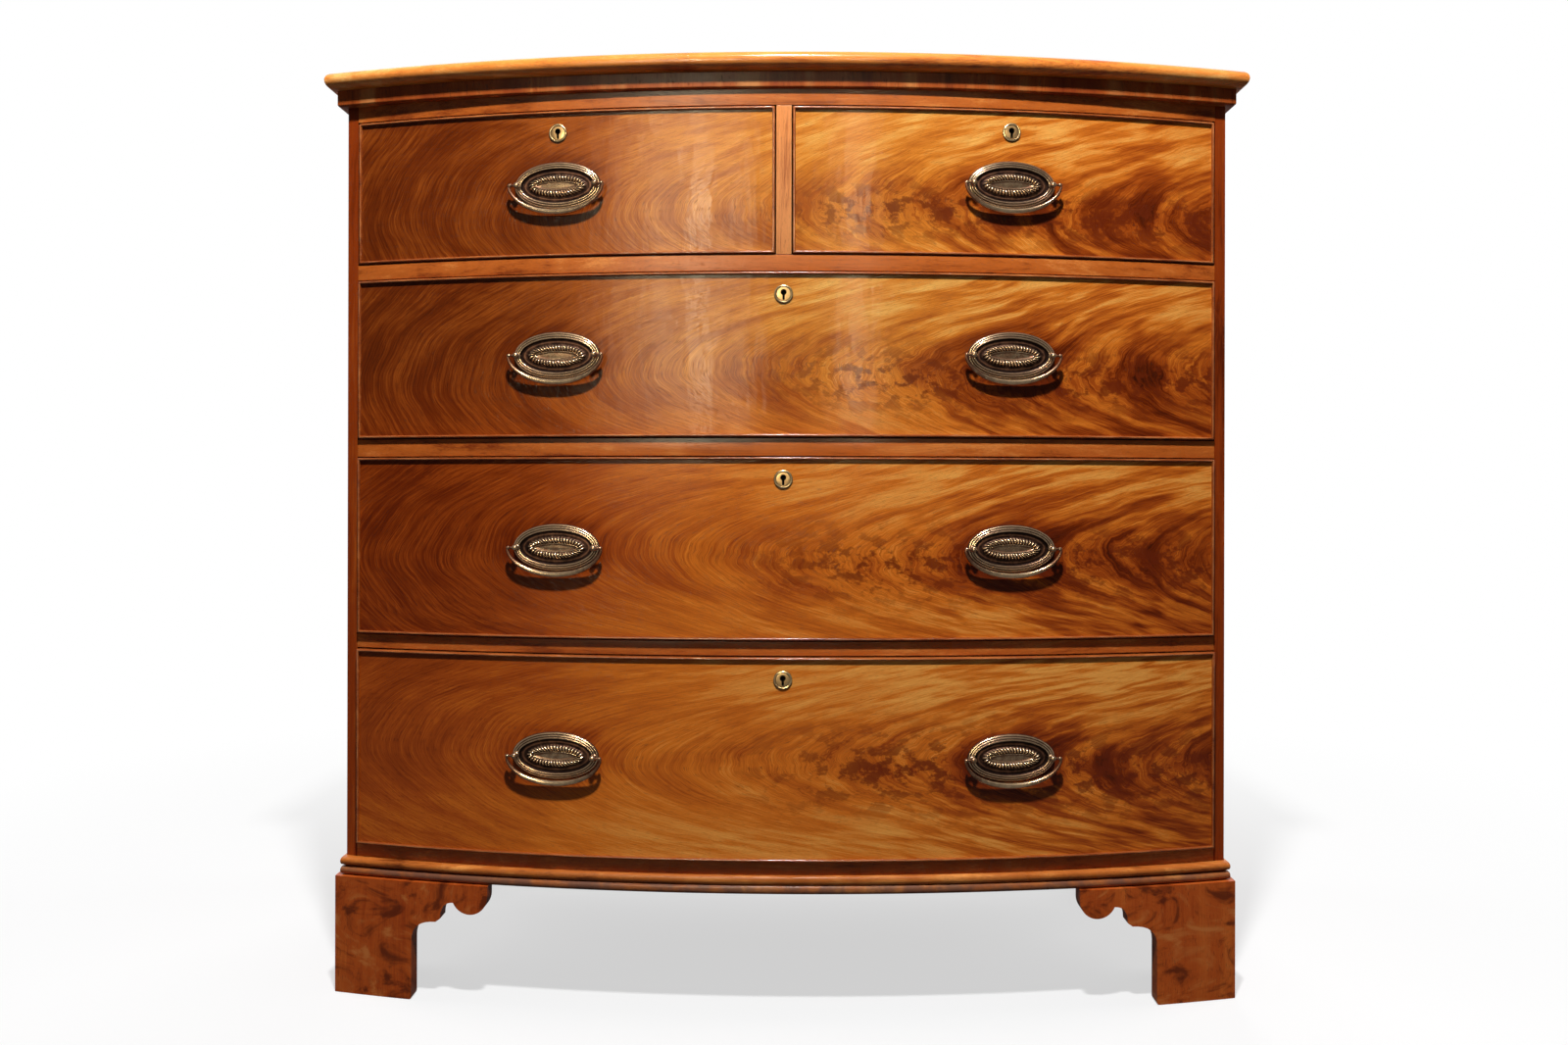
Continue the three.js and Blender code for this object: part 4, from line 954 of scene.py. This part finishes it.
def on_front(points, x, proud, z):
    """Points of (along the front, inwards, up) from a point of the bow, turned square to it."""
    angle = math.asin(x / (BOW_RADIUS + proud))
    right, inward, up = np.moveaxis(points, -1, 0)
    moved_x = x + right * math.cos(angle) - inward * math.sin(angle)
    moved_y = float(bow(x, proud)) + right * math.sin(angle) + inward * math.cos(angle)
    return grid(moved_x, moved_y, z + up)


def fitting(name, points, at, material, wear_and_shade, angle=35):
    """A metal piece on the front at (x, proud, z). Its wear number is 1 where bright and 0 where
    grimy, and below 0 it stands for painted shade.
    """
    made = surface(name, on_front(points, *at), material, angle=angle)
    return noted(made, "wear_and_shade", wear_and_shade)


def keyhole(turn):
    """How far the keyhole's edge lies from its middle: the further of a round and a slot below."""
    ux, uz = np.sin(turn), np.cos(turn)
    round_part = KEY_RAISE * uz + np.sqrt(KEY_RADIUS**2 - (KEY_RAISE * ux) ** 2)
    sideways = KEY_SLOT_HALF / np.maximum(np.abs(ux), 1e-6)
    downward = KEY_SLOT_DROP / np.maximum(-uz, 1e-6)
    slot_part = np.where(uz < 0, np.minimum(sideways, downward), 0)
    return np.maximum(round_part, slot_part)


def escutcheon(name, at, sides=72):
    """Rings of (radius, inwards, wear and painted shade), in millimetres: up the keyway's wall,
    over the stepped face, down the rim and back inside. The keyway's wall and the cap that closes
    it are set far below the dirtiest: near black, painted shade inside the keyhole."""
    turn = circle(sides)
    hole = keyhole(turn) / MM
    # The keyway's rows lie far below the dirtiest: painted shade, near black, inside the keyhole.
    keyway = [(hole * 0.98, 9.5, -2), (hole, 9.3, -2), (hole, -0.8, -0.8), (hole + 0.2, -1.05, 0.4)]
    face = [
        (7.4, -1.10, 0.5), (7.7, -1.0, 0.45), (7.9, -0.75, 0.0), (8.15, -1.15, 0.3),
        (8.6, -1.62, 0.6), (9.1, -1.78, 0.8), (9.6, -1.62, 0.65), (10.0, -1.25, 0.3),
        (10.2, -1.2, 0.15), (10.5, -0.95, 0.1), (10.5, 0.4, 0.1), (8.0, 0.4, 0.1), (8.0, 14.4, 0.1),
    ]
    rows = keyway + face
    points = [grid(r * np.sin(turn), inward, r * np.cos(turn)) for r, inward, _ in rows]
    wear_and_shade = np.repeat([row[2] for row in rows], sides)
    return fitting(name, np.stack(points) * MM, at, lock_brass, wear_and_shade, 28)


def lock_case(name, x, proud, z):
    """Rings of (half width, near, far, height), in millimetres: up the outside, in to the bolt's
    channel, and down it."""
    wide, tall, lip = 26, 42, 0.4
    near, far = 9.8, 20.2
    channel = (8.3, 14.75 - 2.4, 14.75 + 2.4)
    shapes = [
        (wide - lip, near + lip, far - lip, -tall), (wide, near, far, lip - tall),
        (wide, near, far, -lip), (wide - lip, near + lip, far - lip, 0),
        (*channel, 0), (*channel, -24.3),
    ]
    rings = [[(-w, a, h), (w, a, h), (w, b, h), (-w, b, h)] for w, a, b, h in shapes]
    return fitting(name, np.array(rings) * MM, (x, proud, z - CASE_DROP), lock_brass, 0.5)


TONES = {"Bright": "Color", "Tarnish": "Color", "Grime_and_shade": "Color"}
patina, given, out = group(
    "patina",
    {"Vector": "Vector", "Wear_and_shade": "Float", **TONES},
    {"Color": "Color", "Clean": "Float", "Height": "Float"},
)
clouds = stretched(given["Vector"], (160, 160, 160), 3, 0.6)
specks = stretched(given["Vector"], (900, 900, 900), 2, 0.6)
lightness = swayed(swayed(given["Wear_and_shade"], clouds, 0.5), specks, 0.22)
lower = mixed(between(lightness, 0.05, 0.42), given["Grime_and_shade"], given["Tarnish"])
colour = mixed(between(lightness, 0.42, 0.9), lower, given["Bright"])
join(out, {"Color": colour, "Clean": between(lightness, 0.1, 0.8), "Height": specks})


def brass(name, bright, tarnish, grime_and_shade, wear_and_shade=None, smooth=0.24):
    """Old metal: dirt in the hollows, tarnish over the rest, and bright where wear has polished it,
    which its points say unless one number does. Points set far below the dirtiest take the darkest
    colour as painted shade."""
    made, tree, shader, place = new_finish(name)
    inputs = {"Vector": place, "Wear_and_shade": reads(tree, "wear_and_shade") if wear_and_shade is None else wear_and_shade}
    inputs |= {"Bright": linear(*bright), "Tarnish": linear(*tarnish), "Grime_and_shade": linear(*grime_and_shade)}
    old = node(tree, "ShaderNodeGroup", inputs, node_tree=patina).outputs
    rough = between(old["Clean"], 0.0, 1.0, smooth + 0.30, smooth)
    relieved(shader, old["Height"], 0.1, 0.00012)
    join(shader, {"Base Color": old["Color"], "Roughness": rough, "Metallic": 0.88})
    return made


# The lock's darkest colour is near black: in the escutcheon's groove it is dirt, in the keyway it
# is painted shade.
lock_brass = brass("brass_lock", (242, 218, 164), (190, 152, 104), (6, 4, 3))
bolt_steel = brass("steel_bolt", (168, 164, 158), (112, 104, 96), (58, 46, 38), 0.55, 0.3)
for name, (_, _, _, high, proud, lock_x, *_) in DRAWERS.items():
    case = lock_case(f"{name}_lock_case", lock_x, proud, high)
    ring_piece = escutcheon(f"{name}_escutcheon", (lock_x, proud, high - KEYHOLE_DROP))
    for piece in (case, ring_piece):
        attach(piece, name)
    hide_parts(f"{name}_lock")
    dressed(f"{name}_lock_bolt", bolt_steel)


# Handle plates: ovals of thin brass struck in a die, with a reeded rim, a sunk field and a boss
# gadrooned round a smooth pointed oval. Two turned posts go through plate and front, and are nutted
# inside. From here on a shape's sizes are in millimetres.
POST_X = 45.5
PIVOT, BALL, SHANK = 9.5, 3.6, 2.2
GADROONS = 38
ENDS = {"a": -1, "b": 1}
HANDLES = [
    (name, side, (x, proud, z))
    for name, (_, _, _, _, proud, _, handles, z) in DRAWERS.items()
    for side, x in handles.items()
]


def plate_profile():
    """Rows of (half length, half height, height, rubbed, gadroon) from the edge in: rim, reeds,
    sunk field with a raised line, gadrooned band, step and inner oval."""
    rows = [(50.5, 27, 0.3, 0.2, 0), (50.5, 27, 0.75, 0.35, 0), (50.2, 26.7, 1.15, 0.6, 0)]
    inset = np.linspace(0.3, 8.1, 40)
    wave = np.abs(np.sin(np.pi * (inset - 0.3) / 2.6))
    body = 1.15 + 2.15 * np.sin(np.pi * (inset - 0.3) / 7.8 * 0.62 + 0.05) ** 0.8
    for d, w, h in zip(inset, wave, body):
        rows.append((50.5 - d, 27 - d, h - 0.5 + 0.75 * w**0.7, -0.10 + 0.95 * w, 0))
    for share, height, wear_and_shade in ((0.1, 2.4, 0.2), (0.25, 1.6, 0.0), (0.5, 1.1, -0.1), (1, 1, 0)):
        rows.append((42.4 - share * 1.4, 18.9 - share * 1.4, height, wear_and_shade, 0))
    for share in np.linspace(0.1, 1, 8):
        line = 0.35 * hump(share, 0.4, 0.12)
        height, wear_and_shade = 1.0 + line + 0.25 * share, 0.12 + 0.7 * line
        rows.append((41 - share * 7.3, 17.5 - share * 5.0, height, wear_and_shade, 0))
    for share in np.linspace(0, 1, 15)[1:]:
        swell = np.sin(np.pi * min(share * 1.02, 1)) ** 0.75
        height, wear_and_shade = 1.35 + 2.9 * swell + 0.9 * share, 0.20 + 0.46 * swell
        rows.append((33.7 - share * 8.0, 12.5 - share * 7.4, height, wear_and_shade, swell))
    steps = ((0.15, 2.9, 0.8), (0.5, 3, 0.85), (0.85, 2.7, 0.6), (1, 2.3, 0.4))
    for share, height, wear_and_shade in steps:
        rows.append((25.7 - share * 1.3, 5.1 - share * 1.1, height, wear_and_shade, 0))
    for share in (0.8, 0.55, 0.3, 0.08):
        rows.append((24.4 * share, 4.0 * share, 2.1 + 0.35 * (1 - share), 0.6, 0))
    return np.array(rows)


def handle_plate(name, at, sides=432):
    """Ovals at each row of the profile. The gadroons ripple the height by the cosine of the way
    round the oval, and lean over as they cross the band."""
    a, b, height, wear_and_shade, gadroon = (column[:, None] for column in plate_profile().T)
    turn = circle(sides)
    speed = np.hypot(29.5 * np.sin(turn), 8.8 * np.cos(turn))
    round_share = np.cumsum(speed) / speed.sum()
    band = np.clip((33.7 - a) / 8.0, 0, 1)
    ripple = np.cos(2 * np.pi * (GADROONS * round_share + 0.9 * band))
    height = height + 0.80 * gadroon * (ripple - 0.4)
    wear_and_shade = wear_and_shade + gadroon * (0.95 * ripple + 0.05)
    tip = 1 - 0.16 * np.clip((25.2 - a) / 2, 0, 1) * np.abs(np.sin(2 * turn)) ** 1.5
    points = grid(a * tip * np.cos(turn), -height, b * tip * np.sin(turn)) * MM
    return fitting(name, points, at, handle_brass, np.clip(wear_and_shade, -0.2, 1.2).ravel(), 75)


def post(name, middle, at, sides=24):
    """Rings of (radius, inwards) about a line square to the front: ball, neck, shank and nut."""
    ball = [(BALL * math.sin(a), -PIVOT - BALL * math.cos(a)) for a in np.linspace(0.12, 2.45, 12)]
    neck = [(SHANK, 3.1 - PIVOT), (SHANK, -4.6), (3.3, -3.9), (BALL, -3.2), (3.3, -2.4)]
    nut = [(4.4, 20.9), (4.6, 21.2), (4.6, 23.5), (4.2, 23.9), (1.0, 24.0)]
    rings = [*ball, *neck, (SHANK, -1.9), (SHANK, 20.9), *nut]
    radius, inward = np.array(rings).T[:, :, None]
    turn = circle(sides)
    points = grid(middle + radius * np.sin(turn), inward, radius * np.cos(turn)) * MM
    return fitting(name, points, at, handle_brass, 0.62, 40)


handle_brass = brass("brass_handle", (228, 196, 156), (112, 76, 58), (26, 12, 9))
for name, side, at in HANDLES:
    plate = handle_plate(f"{name}_handle_plate_struck{side}", at)
    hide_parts(f"{name}_handle_plate{side}")
    posts = [post(f"{name}_post{side}_{end}", hand * POST_X, at) for end, hand in ENDS.items()]
    for piece in (plate, *posts):
        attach(piece, name)


# Bails: cast brass grips that swell in the middle and swing on pins in the posts' balls, with a
# small round knob where each arm turns in to its pin. They hang against the plates.
BAIL_HALF, BAIL_DROP, BAIL_LEAN = 55.0, 31.5, 4.0
BAIL_GRIP, PIN = 3.2, 1.25
KNOB_X, KNOB = 53.6, 2.1


def bail(name, at, steps=56, sides=18):
    """Circles carried along a half oval hung from two pins, growing as a power of the sine of the
    way round. The path's rows are (x, z, radius, how far back)."""
    turn = np.linspace(0.10, np.pi - 0.10, steps + 1)
    x, z = -BAIL_HALF * np.cos(turn), -BAIL_DROP * np.sin(turn) + 1.2
    size = PIN + 0.15 + (BAIL_GRIP - PIN - 0.15) * np.sin(turn) ** 1.6
    back = BAIL_LEAN * np.sin(turn) ** 2
    start = [[-43.6, 0, PIN * 0.8, 0], [-44, 0, PIN, 0], [-50, 0, PIN, 0], [-53.0, -0.15, PIN, 0],
             [-54.2, -0.75, PIN + 0.1, 0]]
    end = np.array(start[::-1]) * [-1, 1, 1, 1]
    path = np.concatenate([start, np.stack([x, z, size, back], 1), end])
    way = np.gradient(path[:, :2], axis=0)
    way /= np.linalg.norm(way, axis=1, keepdims=True)
    x, z, radius, back = path.T[:, :, None]
    around = circle(sides)
    out = radius * np.cos(around)
    stand = back - PIVOT + radius * np.sin(around)
    points = grid(x - way[:, 1:] * out, stand, z + way[:, :1] * out) * MM
    wear_and_shade = 0.35 + 0.4 * np.clip((path[:, 2] - PIN) / (BAIL_GRIP - PIN), 0, 1)
    return fitting(name, points, at, handle_brass, np.repeat(wear_and_shade, sides), 60)


def knob(name, middle, at, sides=20):
    """A ball, a little long, about the bail's corner: rings from pole to pole along X."""
    turn = np.linspace(0.12, np.pi - 0.12, 11)[:, None]
    around = circle(sides)
    radius = KNOB * np.sin(turn)
    x = middle - KNOB * 1.1 * np.cos(turn)
    points = grid(x, radius * np.sin(around) - PIVOT, radius * np.cos(around)) * MM
    return fitting(name, points, at, handle_brass, 0.6, 60)


for name, side, at in HANDLES:
    grip = bail(f"{name}_bail_cast{side}", at)
    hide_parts(f"{name}_bail{side}")
    knobs = [knob(f"{name}_bail_knob{side}_{end}", hand * KNOB_X, at) for end, hand in ENDS.items()]
    for piece in (grip, *knobs):
        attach(piece, f"{name}_bail{side}")
